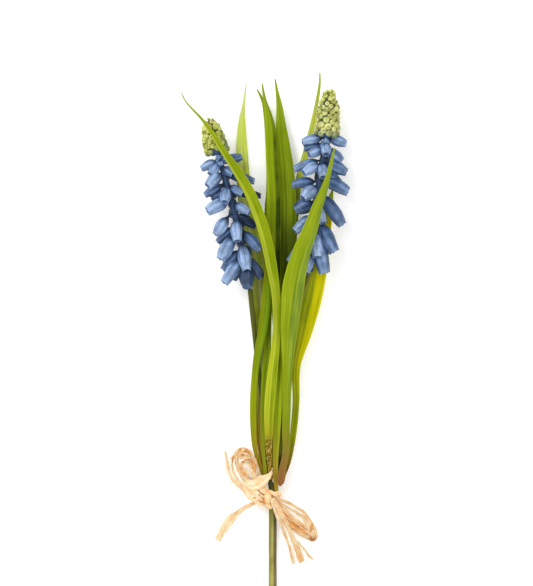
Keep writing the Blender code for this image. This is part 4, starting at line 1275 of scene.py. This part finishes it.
@dataclass
class FlowerHead:
    """A head of bell florets on its rachis, those that show and those of the underside."""

    name: str
    node: str
    axis: Rows
    florets: Rows
    under_from: float
    end_y: float
    seed: int
    # how much lighter all its bells are
    lighter: float = 0.0
    rachis_radius: float = 1.35
    rachis_rings: int = 60
    rachis_sides: int = 14
    rachis_seed: float = 3.0
    rachis_tone: float = 0.3
    rachis_place: float = 0.34
    # share and rate along y of the rachis's two swells
    swells: tuple[Row, ...] = ((0.16, 1.9), (0.1, 4.3))
    width_scale: float = 1.16
    # the bells of the underside: apart along y, turned from straight down in degrees, leaning back
    under_spacing: float = 4.3
    under_turns: tuple[int, ...] = (-4, 2, 18)
    under_lean: float = 0.45
    under_width: float = 3.6
    under_rim: float = 0.83
    under_reach: float = 11.0
    under_lowest: float = 0.55
    leaf_clearance: float = 0.8
    # how far beside a leaf, in bell widths, a mouth still has to clear it
    leaf_margin: float = 0.8
    leaf_samples: int = 60
    # the small bells under the bud cone: rows of them, leaning back, with their reach and width
    crown_bells: int = 11
    crown_rows: int = 3
    crown_spacing: float = 1.3
    crown_back: float = 0.2
    crown_lean: float = 0.7
    crown_reach: Row = (2.6, 3.6)
    crown_width: Row = (1.9, 2.5)
    crown_lighter: float = 0.1
    crown_pinch: float = 0.8
    # ranges of what differs from bell to bell
    stretch: Row = (0.94, 1.06)
    sag: Row = (0.02, 0.06)
    # how far the axis is followed for its direction
    ahead: float = 2.0
    # painted light and shade: heights over the root between which a bell's tone goes from darkest to
    # lightest, and the share of its tone that this takes
    lit_from: Row = (-2.2, 5)
    lit_share: float = 0.75

    def heading(self, y: float) -> tuple[Vector, Vector]:
        """The direction of the axis just after this y, and the level direction to its right."""
        forward = (at_y(self.axis, y + self.ahead) - at_y(self.axis, y)).normalized()
        return forward, forward.cross(UP).normalized()

    def height_of_leaves(self, x: float, y: float) -> float:
        """The height that clears the leaves behind the head near this point, in millimetres."""
        height = self.under_lowest
        for name in BLADES_BEHIND:
            samples = smooth_rows(BLADE_ROUTES[name], self.leaf_samples)
            away = np.hypot(samples[:, 0] - x, samples[:, 1] - y)
            nearest = samples[np.argmin(away)]
            if away.min() < nearest[3] / 2 + self.under_width * self.leaf_margin:
                edge = nearest[2] + nearest[3] / 2 * math.tan(math.radians(BLADE_FOLDS[name]))
                height = max(height, edge + self.leaf_clearance)
        return height

    def under_rows(self) -> list[tuple[Vector, Vector, float]]:
        """Root, mouth and width of the bells of the underside."""
        found = []
        y = self.under_from
        while y < self.end_y - self.under_spacing:
            root = at_y(self.axis, y)
            forward, side = self.heading(y)
            angle = math.radians(self.under_turns[len(found) % len(self.under_turns)])
            out = side * math.sin(angle) - UP * math.cos(angle)
            slant = (out - forward * self.under_lean).normalized()
            below = self.under_rim * self.under_width / 2 * math.sqrt(1 - slant.z**2)
            reach = min(self.under_reach, (root.z - self.under_lowest - below) / -slant.z)
            for _ in range(3):
                mouth = root + slant * reach
                lowest = self.height_of_leaves(mouth.x, mouth.y)
                reach = min(reach, (root.z - lowest - below) / -slant.z)
            found.append((root, root + slant * reach, self.under_width))
            y += self.under_spacing
        return found

    def place(
        self,
        model: Object,
        root: Vector,
        mouth: Vector,
        width: float,
        draw: random.Random,
        shift: float = 0.0,
        neck: float = 0.2,
        pinch: float = 0.0,
    ) -> Object:
        """One bell from its root on the rachis to its mouth.

        Args:
            model: the bell, one unit long and in half width.
            root: where it leaves the axis of the head.
            mouth: the middle of its rim.
            width: its widest, in millimetres.
            draw: the head's random numbers.
            shift: how much lighter its tone is, darker below 0: painted light and shade for a bell that
                lies more lit or more shaded.
            neck: the share of its length that is its thin stalk.
            pinch: how far its mouth is drawn shut, 0 to 1.

        Returns:
            The bell in place.
        """
        made = copy_of(model)
        shape = coordinates(made.data)
        shape[:, :2] *= 1 - pinch * smoothstep(shape[:, 2], 0.6, 1.0)[:, None]
        shape[:, 2] = np.interp(shape[:, 2], (0, 0.2, 1, 1.1), (0, neck, 1, 1.1))
        away = mouth - root
        turned = away.to_track_quat("Z", "Y").to_matrix()
        spin = draw.uniform(0, math.tau)
        half = width * self.width_scale / 2
        cos, sin = math.cos(spin), math.sin(spin)
        x = (shape[:, 0] * cos - shape[:, 1] * sin) * half * draw.uniform(*self.stretch)
        y = (shape[:, 0] * sin + shape[:, 1] * cos) * half * draw.uniform(*self.stretch)
        z = shape[:, 2] * away.length
        sag = draw.uniform(*self.sag) * away.length
        dent = 1 + 0.05 * np.sin(np.arctan2(y, x) * 2 + spin + z * 0.7)
        local = np.stack([x * dent, y * dent, z], 1)
        points = np.array(root) + local @ np.array(turned).T
        arch = np.sin(np.clip(shape[:, 2], 0, 1) * math.pi) * sag
        points[:, 1] += arch * 0.8
        points[:, 2] += arch * 0.35
        place_vertices(made.data, points * MM)
        mark(made.data, Mark.FLOW, x, y + draw.uniform(0, 60), z)
        # painted shade: the bells and sides that face down into the head are darker
        lit = smoothstep(points[:, 2] - root.z, *self.lit_from)
        own = self.lit_share * lit + (1 - self.lit_share) * draw.uniform(0, 1)
        retone(made.data, own + shift + self.lighter)
        return made

    def crown(self, model: Object, draw: random.Random) -> list[Object]:
        """The small closed bells all round the rachis, just under the bud cone."""
        made = []
        forward, side = self.heading(self.end_y - self.ahead)
        for number in range(self.crown_bells):
            back = self.crown_spacing * (number % self.crown_rows) + self.crown_back
            root = at_y(self.axis, self.end_y - back)
            turn = number * GOLDEN_ANGLE
            out = side * math.sin(turn) + UP * math.cos(turn)
            slant = (out - forward * self.crown_lean).normalized()
            mouth = root + slant * draw.uniform(*self.crown_reach)
            made.append(
                self.place(
                    model, root, mouth, draw.uniform(*self.crown_width), draw,
                    shift=self.crown_lighter, pinch=self.crown_pinch,
                )
            )
        return made

    def rachis(self) -> Object:
        """The thin axis that carries the bells, a little swollen where they sit."""
        ys = np.linspace(self.axis[0][1] + 0.4, self.end_y, self.rachis_rings)
        spine = np.array([at_y(self.axis, y) for y in ys])
        radii = self.rachis_radius * (1 + sum(share * np.sin(ys * rate) for share, rate in self.swells))
        name = self.name + "_rachis"
        made = rolled_tube(name, spine, radii, self.rachis_sides, seed=self.rachis_seed)
        retone(made.data, self.rachis_tone, self.rachis_place)
        return made

    def build(self, model: Object, finish: Material) -> Object:
        """Sets copies of the model on the rachis, joins them and dresses them."""
        draw = random.Random(self.seed)
        pieces = [self.rachis()]
        for y, mouth_x, mouth_y, lift, width, *more in self.florets:
            root = at_y(self.axis, y)
            mouth = Vector((mouth_x, mouth_y, root.z + lift))
            pieces.append(self.place(model, root, mouth, width, draw, *more))
        for root, mouth, width in self.under_rows():
            pieces.append(self.place(model, root, mouth, width, draw))
        pieces += self.crown(model, draw)
        return finished(joined(self.name, pieces), finish, Slot.FLORET, self.node)


@dataclass
class BudCone:
    """The cone of round dimpled buds at the tip of a head, on a darker core."""

    name: str
    node: str
    axis: Rows
    start_y: float
    widest: float
    seed: int
    # the share of the cone's length where the buds end, and how bluntly it narrows to there
    reach: float = 1.0
    taper: float = 2.6
    # painted shade: how much lower the tones of the buds on its right are, where a leaf shades them,
    # and up to where along the cone it fades out
    right_shade: float = 0.0
    duller_until: Row = (0.55, 0.8)
    spacing: float = 2.6
    bead_radius: float = 1.4
    bead_depth: float = 1.6
    bead_segments: int = 14
    bead_rings: int = 11
    bead_lobes: int = 6
    stand_out: float = 0.3
    turn_out: float = 0.3
    stray_out: float = 0.34
    # no bud's middle is nearer to the axis, in millimetres
    clear_of_axis: float = 0.25
    # the range of their sizes beside each other
    sizes: Row = (0.82, 1.18)
    core_sides: int = 16
    core_inset: float = 0.35
    core_thinnest: float = 0.6
    core_foot: float = 0.8
    core_tone: float = 0.5

    def radius(self, share: float) -> float:
        """Distance of the buds' middles from the axis at this share of the cone's length."""
        narrowed = math.sqrt(max(0.0, 1 - share**self.taper))
        return self.widest * min(1.0, 0.86 + 1.2 * share) * narrowed

    def model(self) -> Object:
        """One bud with its dimple towards +Z, one unit in radius."""
        made = ball("bud", self.bead_segments, self.bead_rings)
        points = coordinates(made.data)
        from_pole = np.arccos(np.clip(points[:, 2], -1, 1)) / math.pi
        turn = np.arctan2(points[:, 1], points[:, 0])
        hollow = 0.16 * (1 - smoothstep(from_pole, 0.02, 0.2))
        points[:, 2] -= hollow + 0.14 * (1 - smoothstep(from_pole, 0.1, 0.34))
        lobes = 0.06 * np.cos(turn * self.bead_lobes) * (1 - smoothstep(from_pole, 0.25, 0.6))
        points[:, :2] *= 1 + lobes[:, None]
        place_vertices(made.data, points)
        mark(made.data, Mark.PLACE, from_pole, from_pole, from_pole)
        return made

    def core(self, foot: Vector, span: Vector) -> Object:
        """The darker core inside the buds, from its foot along its whole span."""
        shares = np.concatenate([np.linspace(0, 0.9, 12), [0.96]])
        spine = np.array([foot + span * share for share in shares])
        thinnest = self.core_thinnest
        radii = np.array([max(thinnest, self.radius(share) - self.core_inset) for share in shares])
        radii[0] *= self.core_foot
        made = rolled_tube(self.name + "_core", spine, radii, self.core_sides)
        from_foot = coordinates(made.data) / MM - np.array(foot)
        along = from_foot @ np.array(span) / span.length_squared
        mark(made.data, Mark.PLACE, 1.0, along, self.core_tone)
        return made

    def bead(
        self,
        model: Object,
        number: int,
        share: float,
        foot: Vector,
        span: Vector,
        draw: random.Random,
    ) -> Object:
        """One bud in its place on the cone.

        Args:
            model: the bud, one unit in radius.
            number: its number on the spiral, from 0.
            share: the share of the cone's length that it sits at.
            foot: the middle of the cone's foot.
            span: from there to its tip.
            draw: the cone's random numbers.

        Returns:
            The bud.
        """
        to_axis = span.to_track_quat("Z", "Y").to_matrix()
        turn = number * GOLDEN_ANGLE
        out = Vector((math.cos(turn), math.sin(turn), 0))
        lean = 0.15 + 1.9 * max(0.0, share - 0.55) ** 1.3
        stray = Vector((draw.uniform(-1, 1), draw.uniform(-1, 1), draw.uniform(-1, 1)))
        facing = out * (1 - 0.45 * share**3) + Vector((0, 0, lean)) + stray * self.turn_out
        facing.normalize()
        around = max(self.radius(share), self.clear_of_axis)
        middle = out * around + Vector((0, 0, share * span.length)) + stray * self.stray_out
        size = (1.06 - 0.3 * share - 0.25 * share**6) * draw.uniform(*self.sizes)
        spin = Matrix.Rotation(draw.uniform(0, math.tau), 3, "Z")
        turned = facing.to_track_quat("Z", "Y").to_matrix() @ spin
        scale = Matrix.Diagonal((self.bead_radius, self.bead_radius, self.bead_depth)) * size
        place = np.array(to_axis @ turned @ scale)
        centre = foot + to_axis @ (middle + facing * self.stand_out)
        made = copy_of(model)
        place_vertices(made.data, (coordinates(made.data) @ place.T + np.array(centre)) * MM)
        # painted shade on the buds that face right
        right_shade = self.right_shade * (1 - smoothstep(share, *self.duller_until))
        retone(made.data, draw.uniform(0, 1) - right_shade * max(0.0, (to_axis @ out).x), share)
        return made

    def build(self, finish: Material) -> Object:
        """Sets the buds on the core by the golden angle and joins them."""
        draw = random.Random(self.seed)
        foot = at_y(self.axis, self.start_y)
        span = at_y(self.axis, self.axis[-1][1]) - foot
        pieces = [self.core(foot, span)]
        model = self.model()
        share = 0.45 * self.spacing / span.length
        while share < self.reach:
            pieces.append(self.bead(model, len(pieces) - 1, share, foot, span, draw))
            apart = self.spacing * (1 - 0.3 * share**3)
            share += apart**2 * 0.86 / (math.tau * max(self.radius(share), 0.9)) / span.length
        bpy.data.objects.remove(model, do_unlink=True)
        return finished(joined(self.name, pieces), finish, Slot.BUD, self.node)


@dataclass
class Stalk:
    """One round stalk from its cut end to the foot of the flower head."""

    name: str
    node: str
    route: Rows
    finish: StrandFinish
    radius: float = 1.14
    rings: int = 90
    sides: int = 20
    ripple: float = 0.03
    ripple_rate: float = 0.55

    def build(self, effects: Effects) -> Object:
        """Rolls the stalk along its route and dresses it."""
        spine = smooth_rows(self.route, self.rings)
        radii = self.radius + self.ripple * np.sin(np.arange(self.rings) * self.ripple_rate)
        stalk = rolled_tube(self.name, spine, radii, self.sides)
        return finished(stalk, self.finish.material(effects), Slot.STALK, self.node)


@dataclass
class Bow:
    """The loops and loose ends on one side of the knot, each split into crumpled strands."""

    name: str
    node: str
    strips: tuple[Strip, ...]
    seed: int
    rows: int = 60
    across: int = 8
    thickness: float = 0.26
    # the width of a strand for which the number of creases is given
    creased_width: float = 2.6
    # how far the corners of the far end are cut back and drawn out, in millimetres
    fray_reach: Row = (-0.1, 0.9)

    def strand(
        self, spine: Array, place: float, width: float, lift: float, tone: float, draw: random.Random
    ) -> Object:
        """One crumpled strand beside the line of its strip.

        Args:
            spine: x, y, z and width of the strip.
            place: where it lies across the strip, -1 to 1.
            width: its share of the strip's width.
            lift: its height over the strip, in millimetres.
            tone: its own tone, 0 to 1, or below 0 where it is burnt brown.
            draw: the bow's random numbers.

        Returns:
            The strand.
        """
        sides = level_sides(spine[:, :3])
        line = spine.copy()
        v = np.linspace(0, 1, len(line))
        wander = draw.uniform(0.15, 0.4) * np.sin(v * draw.uniform(4, 9) + draw.uniform(0, 6))
        wander += 0.09 * np.sin(v * draw.uniform(26, 40)) * np.sin(v * draw.uniform(9, 15))
        offset = spine[:, 3] / 2 * place * (0.75 + 0.25 * smoothstep(v, 0, 0.3)) + wander
        line[:, :3] += sides * offset[:, None]
        line[:, 2] += lift + 0.2 * np.sin(v * draw.uniform(6, 12) + draw.uniform(0, 6)) - 0.1
        line[:, 3] *= width * (1 + 0.1 * np.sin(v * draw.uniform(8, 14)))
        line[:, 3] += 0.1 * np.sin(v * draw.uniform(40, 60) + draw.uniform(0, 6))
        phase = draw.uniform(0, 6)
        widths = float(spine[:, 3].max()) * width / self.creased_width
        creases = draw.uniform(1.6, 2.8) * max(1.0, widths)
        cup = draw.uniform(-0.35, 0.35)

        def height(u: Array, along: Array) -> Array:
            """Lengthwise creases that drift, a slight cup and a fine crinkle."""
            folds = 0.16 * np.sin(u * math.pi * creases + phase + along * 5)
            return folds + cup * u**2 + 0.07 * np.sin(along * 46 + u * 2 + phase)

        seed = draw.uniform(0, 50)
        made = sheet_from_grid(self.name + "_strand", line, sides, self.across, height, tone, seed)
        self.fray(made, sides[-1], draw)
        return thickened(made, self.thickness)

    def fray(self, strand: Object, side: Array, draw: random.Random) -> None:
        """Cuts the far end of a strand unevenly."""
        points = coordinates(strand.data)
        away = np.cross(UP, side)
        for index in range(-self.across - 1, 0):
            points[index] += away * draw.uniform(*self.fray_reach) * MM
        place_vertices(strand.data, points)

    def build(self, finish: Material) -> Object:
        """Lays every strand and joins them."""
        draw = random.Random(self.seed)
        pieces = []
        for strip in self.strips:
            spine = smooth_rows(strip.rows, self.rows)
            if strip.strands == 1:
                pieces.append(self.strand(spine, 0.0, 1.0, 0.0, strip.tone, draw))
                continue
            for number in range(strip.strands):
                place = ((2 * number + 1) / strip.strands - 1) * (1 - 1 / strip.strands)
                width = draw.uniform(0.95, 1.2) / strip.strands
                lift = draw.uniform(-0.1, 0.4)
                tone = strip.tone + draw.uniform(-0.15, 0.15)
                pieces.append(self.strand(spine, place, width, lift, tone, draw))
        return finished(joined(self.name, pieces), finish, Slot.RAFFIA, self.node)


@dataclass
class Tie:
    """The turns of raffia round both stalks, and the knot on top of them."""

    name: str = "raffia_knot"
    node: str = "raffia_tie"
    # x and z of the two stalks inside it
    high: Row = (-0.3, 4.8)
    low: Row = (1.15, 2.4)
    reach: float = 2.3
    # middle along y and width of each turn, and how far every other one lies outside the rest
    bands: tuple[Row, ...] = ((-2.75, 1.7), (-1.1, 2.0), (0.6, 1.9), (2.4, 2.2))
    overlap: float = 0.1
    points: int = 61
    across: int = 8
    thickness: float = 0.45
    lowest: float = 0.03
    slant: float = 0.25
    band_tone: float = 0.4
    band_seed: float = 3.7
    # middle, half sizes, and turn in degrees of each lump of the knot
    lumps: tuple[tuple[Row, Row, float], ...] = (
        ((-1.8, 1.2, 8.1), (1.75, 3.1, 1.5), 6),
        ((-1.3, -2.5, 7.4), (1.3, 2, 1.2), 62),
        ((2.3, 2.4, 6.8), (1.6, 2.1, 1.3), -38),
        ((0.5, -0.3, 8.3), (1.2, 1.7, 1.2), -15),
    )
    lump_segments: int = 40
    lump_rings: int = 24
    lump_seed: float = 2.1
    lump_place: float = 0.2

    def band(self, y: float, width: float, grow: float, seed: float) -> Object:
        """One closed turn round both stalks.

        Args:
            y: its middle along the stalks, in millimetres.
            width: its width, in millimetres.
            grow: how far outside the other turns it lies, in millimetres.
            seed: sets its fibres apart.

        Returns:
            The turn.
        """
        turn = np.linspace(0, math.tau, self.points)
        up = math.atan2(self.high[1] - self.low[1], self.high[0] - self.low[0])
        middle = np.where((np.cos(turn - up) > 0)[:, None], self.high, self.low)
        radius = self.reach + grow
        x = middle[:, 0] + radius * np.cos(turn)
        z = np.maximum(middle[:, 1] + radius * np.sin(turn), self.lowest)
        lean = y + self.slant * np.sin(turn + seed)
        spine = np.stack([x, lean, z, np.full(self.points, width)], 1)
        sides = np.tile([0.0, 1.0, 0.0], (self.points, 1))

        def height(u: Array, v: Array) -> Array:
            """Shallow creases along the turn."""
            return -0.1 * u**2 + 0.06 * np.sin(u * 7 + v * 9 + seed)

        name = self.name + "_band"
        made = sheet_from_grid(name, spine, sides, self.across, height, self.band_tone, seed)
        return thickened(made, self.thickness)

    def lump(self, middle: Row, sizes: Row, turn: float, seed: float) -> Object:
        """One folded lump of the knot.

        Args:
            middle: its middle, in millimetres.
            sizes: its half sizes, in millimetres.
            turn: its turn about +Z, in degrees.
            seed: sets its creases apart.

        Returns:
            The lump.
        """
        made = ball(self.name + "_lump", self.lump_segments, self.lump_rings)
        shape = coordinates(made.data)
        around = np.arctan2(shape[:, 2], shape[:, 0])
        crease = 1 + 0.07 * np.sin(around * 5 + seed + shape[:, 1] * 2) + 0.03 * np.sin(around * 11)
        boxy = 1 + 0.05 * (1 - shape[:, 1] ** 2)
        shape[:, ::2] *= (crease * boxy)[:, None]
        turned = Matrix.Rotation(math.radians(turn), 3, "Z")
        local = shape * np.array(sizes)
        place_vertices(made.data, (local @ np.array(turned).T + np.array(middle)) * MM)
        mark(made.data, Mark.FLOW, around * 2, seed, local[:, 1])
        mark(made.data, Mark.PLACE, shape[:, 0], self.lump_place, crease - 0.6)
        return made

    def build(self, finish: Material) -> Object:
        """Winds the turns, sets the knot on them and joins them."""
        pieces = [
            self.band(y, width, self.overlap * (number % 2), number * self.band_seed)
            for number, (y, width) in enumerate(self.bands)
        ]
        for number, lump in enumerate(self.lumps):
            pieces.append(self.lump(*lump, number * self.lump_seed))
        return finished(joined(self.name, pieces), finish, Slot.RAFFIA, self.node)


@dataclass(frozen=True)
class Lamp:
    """A soft square light that faces the middle of the bunch."""

    name: str
    # its place and width, in metres
    place: Row
    size: float
    # its power, in watts
    power: float

    def build(self, target: Row) -> None:
        """Hangs the light and turns it to this point."""
        bpy.ops.object.light_add(type="AREA", location=self.place)
        lamp = bpy.context.view_layer.objects.active
        lamp.name = self.name
        lamp.data.size = self.size
        lamp.data.energy = self.power
        lamp.rotation_mode = "QUATERNION"
        lamp.rotation_quaternion = (Vector(target) - Vector(self.place)).to_track_quat("-Z", "Y")


@dataclass
class Studio:
    """The floor, the light and the camera."""

    # the middle of the view in the frame, its height there, and how far the camera stands away
    middle: Row = (-2.475, 93.15)
    height: float = 263.7
    distance: float = 3500.0
    sensor: float = 36.0
    # how near and how far the camera sees, in metres
    near: float = 0.1
    far: float = 20.0
    floor_size: float = 8.0
    floor_shades: tuple[Colour, Colour] = ((0.945, 0.945, 0.945, 1), (0.96, 0.96, 0.96, 1))
    floor_speckle: float = 900.0
    # the floor glows slightly, a painted light, so the shadows on it stay as faint as on a lit table
    floor_glow: float = 0.26
    lamps: tuple[Lamp, ...] = (
        Lamp("key", (-0.75, 0.75, 1.1), 0.7, 10.8),
        Lamp("fill", (0.9, -0.2, 1.2), 1.2, 4.0),
    )
    lit_point: Row = (0, 0.1, 0)
    sky: float = 0.84

    def floor(self) -> Object:
        """A plain pale floor that glows slightly, as a painted light."""
        made = named(bpy.ops.mesh.primitive_plane_add, "floor", size=self.floor_size)
        material, graph, shader = new_material("floor_paint", 0.9, 0.0)
        speck = graph.noise(graph.position(), self.floor_speckle, 2)
        colour = graph.mix(graph.ease(speck, 0.3, 0.8), *self.floor_shades)
        graph.feed(shader.inputs["Base Color"], colour)
        graph.feed(shader.inputs["Emission Color"], colour)
        shader.inputs["Emission Strength"].default_value = self.floor_glow
        made.data.materials.append(material)
        return made

    def build(self) -> None:
        """Sets up floor, lights, camera and the plain display of colours."""
        self.floor()
        for lamp in self.lamps:
            lamp.build(self.lit_point)
        world = bpy.data.worlds.new("studio")
        world.use_nodes = True
        backdrop = world.node_tree.nodes["Background"]
        backdrop.inputs["Color"].default_value = WHITE
        backdrop.inputs["Strength"].default_value = self.sky
        scene = bpy.context.scene
        scene.world = world
        scene.view_settings.view_transform = "Standard"
        place = [value * MM for value in (*self.middle, self.distance)]
        bpy.ops.object.camera_add(location=place, rotation=(0, 0, 0))
        scene.camera = bpy.context.view_layer.objects.active
        camera = scene.camera.data
        camera.sensor_width = self.sensor
        camera.lens = self.sensor * self.distance / self.height
        camera.clip_start = self.near
        camera.clip_end = self.far


BLADES = (
    Blade(
        "front_left", Slot.LEAF_GREEN, 0.1,
        BladeFinish(
            left=(168, 180, 44), right=(130, 150, 0), light=(196, 206, 48), dark=(100, 124, 4),
            low=((200, 208, 44), (142, 160, 14)), valley=Wash((196, 198, 84), 0.12, 0.0, 0.5),
            foot=Wash((158, 130, 30), 0.14, -0.06), speckle=Speckle(),
        ),
        midrib=((0.0, 0.0), (0.4, 0.0), (0.55, -0.35), (0.75, -0.6), (1.0, -0.4)),
    ),
    Blade(
        "front_right", Slot.LEAF_GREEN, 0.37,
        BladeFinish(
            left=(140, 160, 12), right=(114, 138, 42), light=(178, 194, 44), dark=(98, 122, 12),
            low=((142, 160, 14), (118, 138, 14)), low_reach=0.3,
            valley=Wash((104, 130, 16), 0.16, 0.0, 0.6), foot=Wash((154, 104, 60), 0.16, -0.06),
        ),
        midrib=((0.0, 0.0), (0.45, 0.0), (0.6, 0.2), (0.8, 0.5), (1.0, 0.2)),
    ),
    Blade(
        "right_side", Slot.LEAF_PALE, 0.61,
        BladeFinish(
            left=(134, 148, 2), right=(232, 224, 0), light=(236, 230, 40), dark=(106, 122, 0),
            low=((138, 154, 8), (140, 152, 8)), low_reach=0.36, grain=Grain((1.5, 1, 0.03), 0.36),
            valley=Wash((156, 162, 2), 0.16, 0.0, 0.6), foot=Wash((158, 124, 52), 0.14, -0.06),
        ),
    ),
    Blade(
        "behind_right_head", Slot.LEAF_GREEN, 0.22,
        BladeFinish(
            left=(222, 232, 112), right=(212, 226, 56), light=(232, 240, 134), dark=(140, 160, 14),
            valley=Wash((168, 188, 30), 0.16, 0.0, 0.6),
        ),
    ),
    Blade(
        "behind_left_head", Slot.LEAF_PALE, 0.81,
        BladeFinish(
            left=(206, 220, 100), right=(200, 216, 70), light=(230, 238, 150), dark=(160, 176, 16),
            # its lower halves are darker with painted shade from the leaves and bells over them
            low=((116, 124, 0), (106, 116, 0)), low_reach=0.52, edge=(132, 158, 20),
            tip=Wash((206, 218, 134), 0.85, 1.0, 0.8), valley=Wash((232, 240, 160), 0.16, 0.0, 0.5),
            foot=Wash((214, 172, 60), 0.24, -0.06),
        ),
    ),
    Blade(
        "left_side", Slot.LEAF_GREEN, 0.43,
        BladeFinish(
            left=(120, 132, 2), right=(104, 138, 8), light=(152, 172, 20), dark=(74, 98, 0),
            low=((154, 166, 4), (146, 154, 6)), low_reach=0.42, foot=Wash((162, 138, 34), 0.24, -0.06),
        ),
    ),
    Blade(
        "centre_thin", Slot.LEAF_OLIVE, 0.93,
        BladeFinish(
            left=(132, 154, 6), right=(112, 134, 2), light=(160, 178, 20),
            foot=Wash((140, 144, 28), 0.24, -0.06),
        ),
    ),
    Blade(
        "centre_left", Slot.LEAF_OLIVE, 0.55,
        BladeFinish(
            # its right half is dark with painted shade
            left=(132, 154, 4), right=(40, 58, 0), light=(164, 184, 24), dark=(64, 84, 0),
            low=((140, 158, 10), (162, 182, 20)), low_reach=0.36,
            foot=Wash((174, 148, 48), 0.14, -0.06),
        ),
        midrib=((0.0, 0.0), (0.5, 0.2), (1.0, 0.5)),
    ),
    Blade(
        "centre_right", Slot.LEAF_OLIVE, 0.71,
        BladeFinish(
            left=(138, 160, 4), right=(116, 138, 6), light=(166, 186, 26), dark=(62, 82, 0),
            low=((142, 160, 10), (128, 146, 8)), low_reach=0.36,
            # painted shade where the leaves beside it shade it
            shade=Shade((0.37, 0.53, 0.6, 0.68), (38, 54, 0), 0.6),
        ),
        midrib=((0.0, 0.0), (0.5, -0.3), (1.0, -0.2)),
    ),
)

LEFT_STALK_FINISH = StrandFinish(
    name="stalk_skin_left", base=(116, 116, 46), light=(186, 182, 100), dark=(92, 94, 26),
    stain=(104, 100, 30), stains=Patches(240.0, 0.4), grain=Grain((1.6, 1.6, 0.04), 0.9),
    roughness=0.45, bump_depth=0.0002,
    # a painted highlight down one side, and painted shade towards the far end and just above the tie
    side=Wash((180, 176, 94), -0.2, 0.5), end=Wash((84, 88, 24), 0.42, 0.5),
    shade=Shade((0.415, 0.435, 0.47, 0.49), (48, 58, 14), 0.75),
)
RIGHT_STALK_FINISH = StrandFinish(
    name="stalk_skin_right", base=(154, 138, 98), light=(168, 154, 108), dark=(96, 86, 40),
    stain=(116, 94, 56), stains=Patches(240.0, 0.5), grain=Grain((1.6, 1.6, 0.04), 0.9),
    roughness=0.45, bump_depth=0.0002,
    # painted shade down one side, towards the far end and just above the tie
    side=Wash((116, 104, 54), -0.2, 0.5), end=Wash((118, 118, 26), 0.42, 0.52),
    shade=Shade((0.41, 0.43, 0.5, 0.52), (48, 58, 14), 0.75),
)
RAFFIA_FINISH = StrandFinish(
    name="raffia_fibre", base=(266, 232, 170), light=(268, 250, 212), dark=(250, 188, 112),
    stain=(252, 186, 100), stains=Patches(240.0, 0.4), grain=Grain((3.4, 1, 0.11), 0.75),
    roughness=0.6, bump_depth=0.0004, burn=Wash((150, 72, 20), -0.2, -1.0),
    rim=Wash((240, 160, 80), 0.55, 1.0, 0.75),
)
GREENER_BUD_FINISH = BudFinish(
    name="bud_skin_green", base=(174, 182, 66), light=(234, 234, 136), dark=(116, 124, 40),
    tip=Wash((246, 232, 164), 0.6, 1.0, 0.5), between=(74, 84, 34),
)


def main() -> None:
    """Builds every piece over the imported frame."""
    logging.basicConfig(level=logging.INFO, format="%(message)s")
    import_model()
    Studio().build()
    effects = Effects(FibreEffect().tree(), CloudEffect().tree())
    Stalk("stem_left", "stalk_left", STALK_LEFT, LEFT_STALK_FINISH).build(effects)
    Stalk("stem_right", "stalk_right", STALK_RIGHT, RIGHT_STALK_FINISH).build(effects)
    for blade in BLADES:
        blade.build(effects)
    bell = Floret().build()
    blue = FloretFinish().material(effects)
    for head in (
        FlowerHead("bells_left", "florets_left", AXIS_LEFT, FLORETS_LEFT, 105, 154.78, 5),
        FlowerHead("bells_right", "florets_right", AXIS_RIGHT, FLORETS_RIGHT, 109, 162.18, 9, 0.07),
    ):
        head.build(bell, blue)
    bpy.data.objects.remove(bell, do_unlink=True)
    yellow = BudFinish().material(effects)
    greener = GREENER_BUD_FINISH.material(effects)
    BudCone("bud_cone_left", "buds_left", AXIS_LEFT, 155.2, 4.25, 11, 1.04, right_shade=0.8).build(greener)
    BudCone("bud_cone_right", "buds_right", AXIS_RIGHT, 162.6, 4.5, 12, 0.98, 2.0, 0.3).build(yellow)
    straw = RAFFIA_FINISH.material(effects)
    Tie().build(straw)
    Bow("bow_left", "raffia_bow_left", BOW_LEFT, 21).build(straw)
    Bow("bow_right", "raffia_bow_right", BOW_RIGHT, 34).build(straw)


if __name__ == "__main__":
    main()
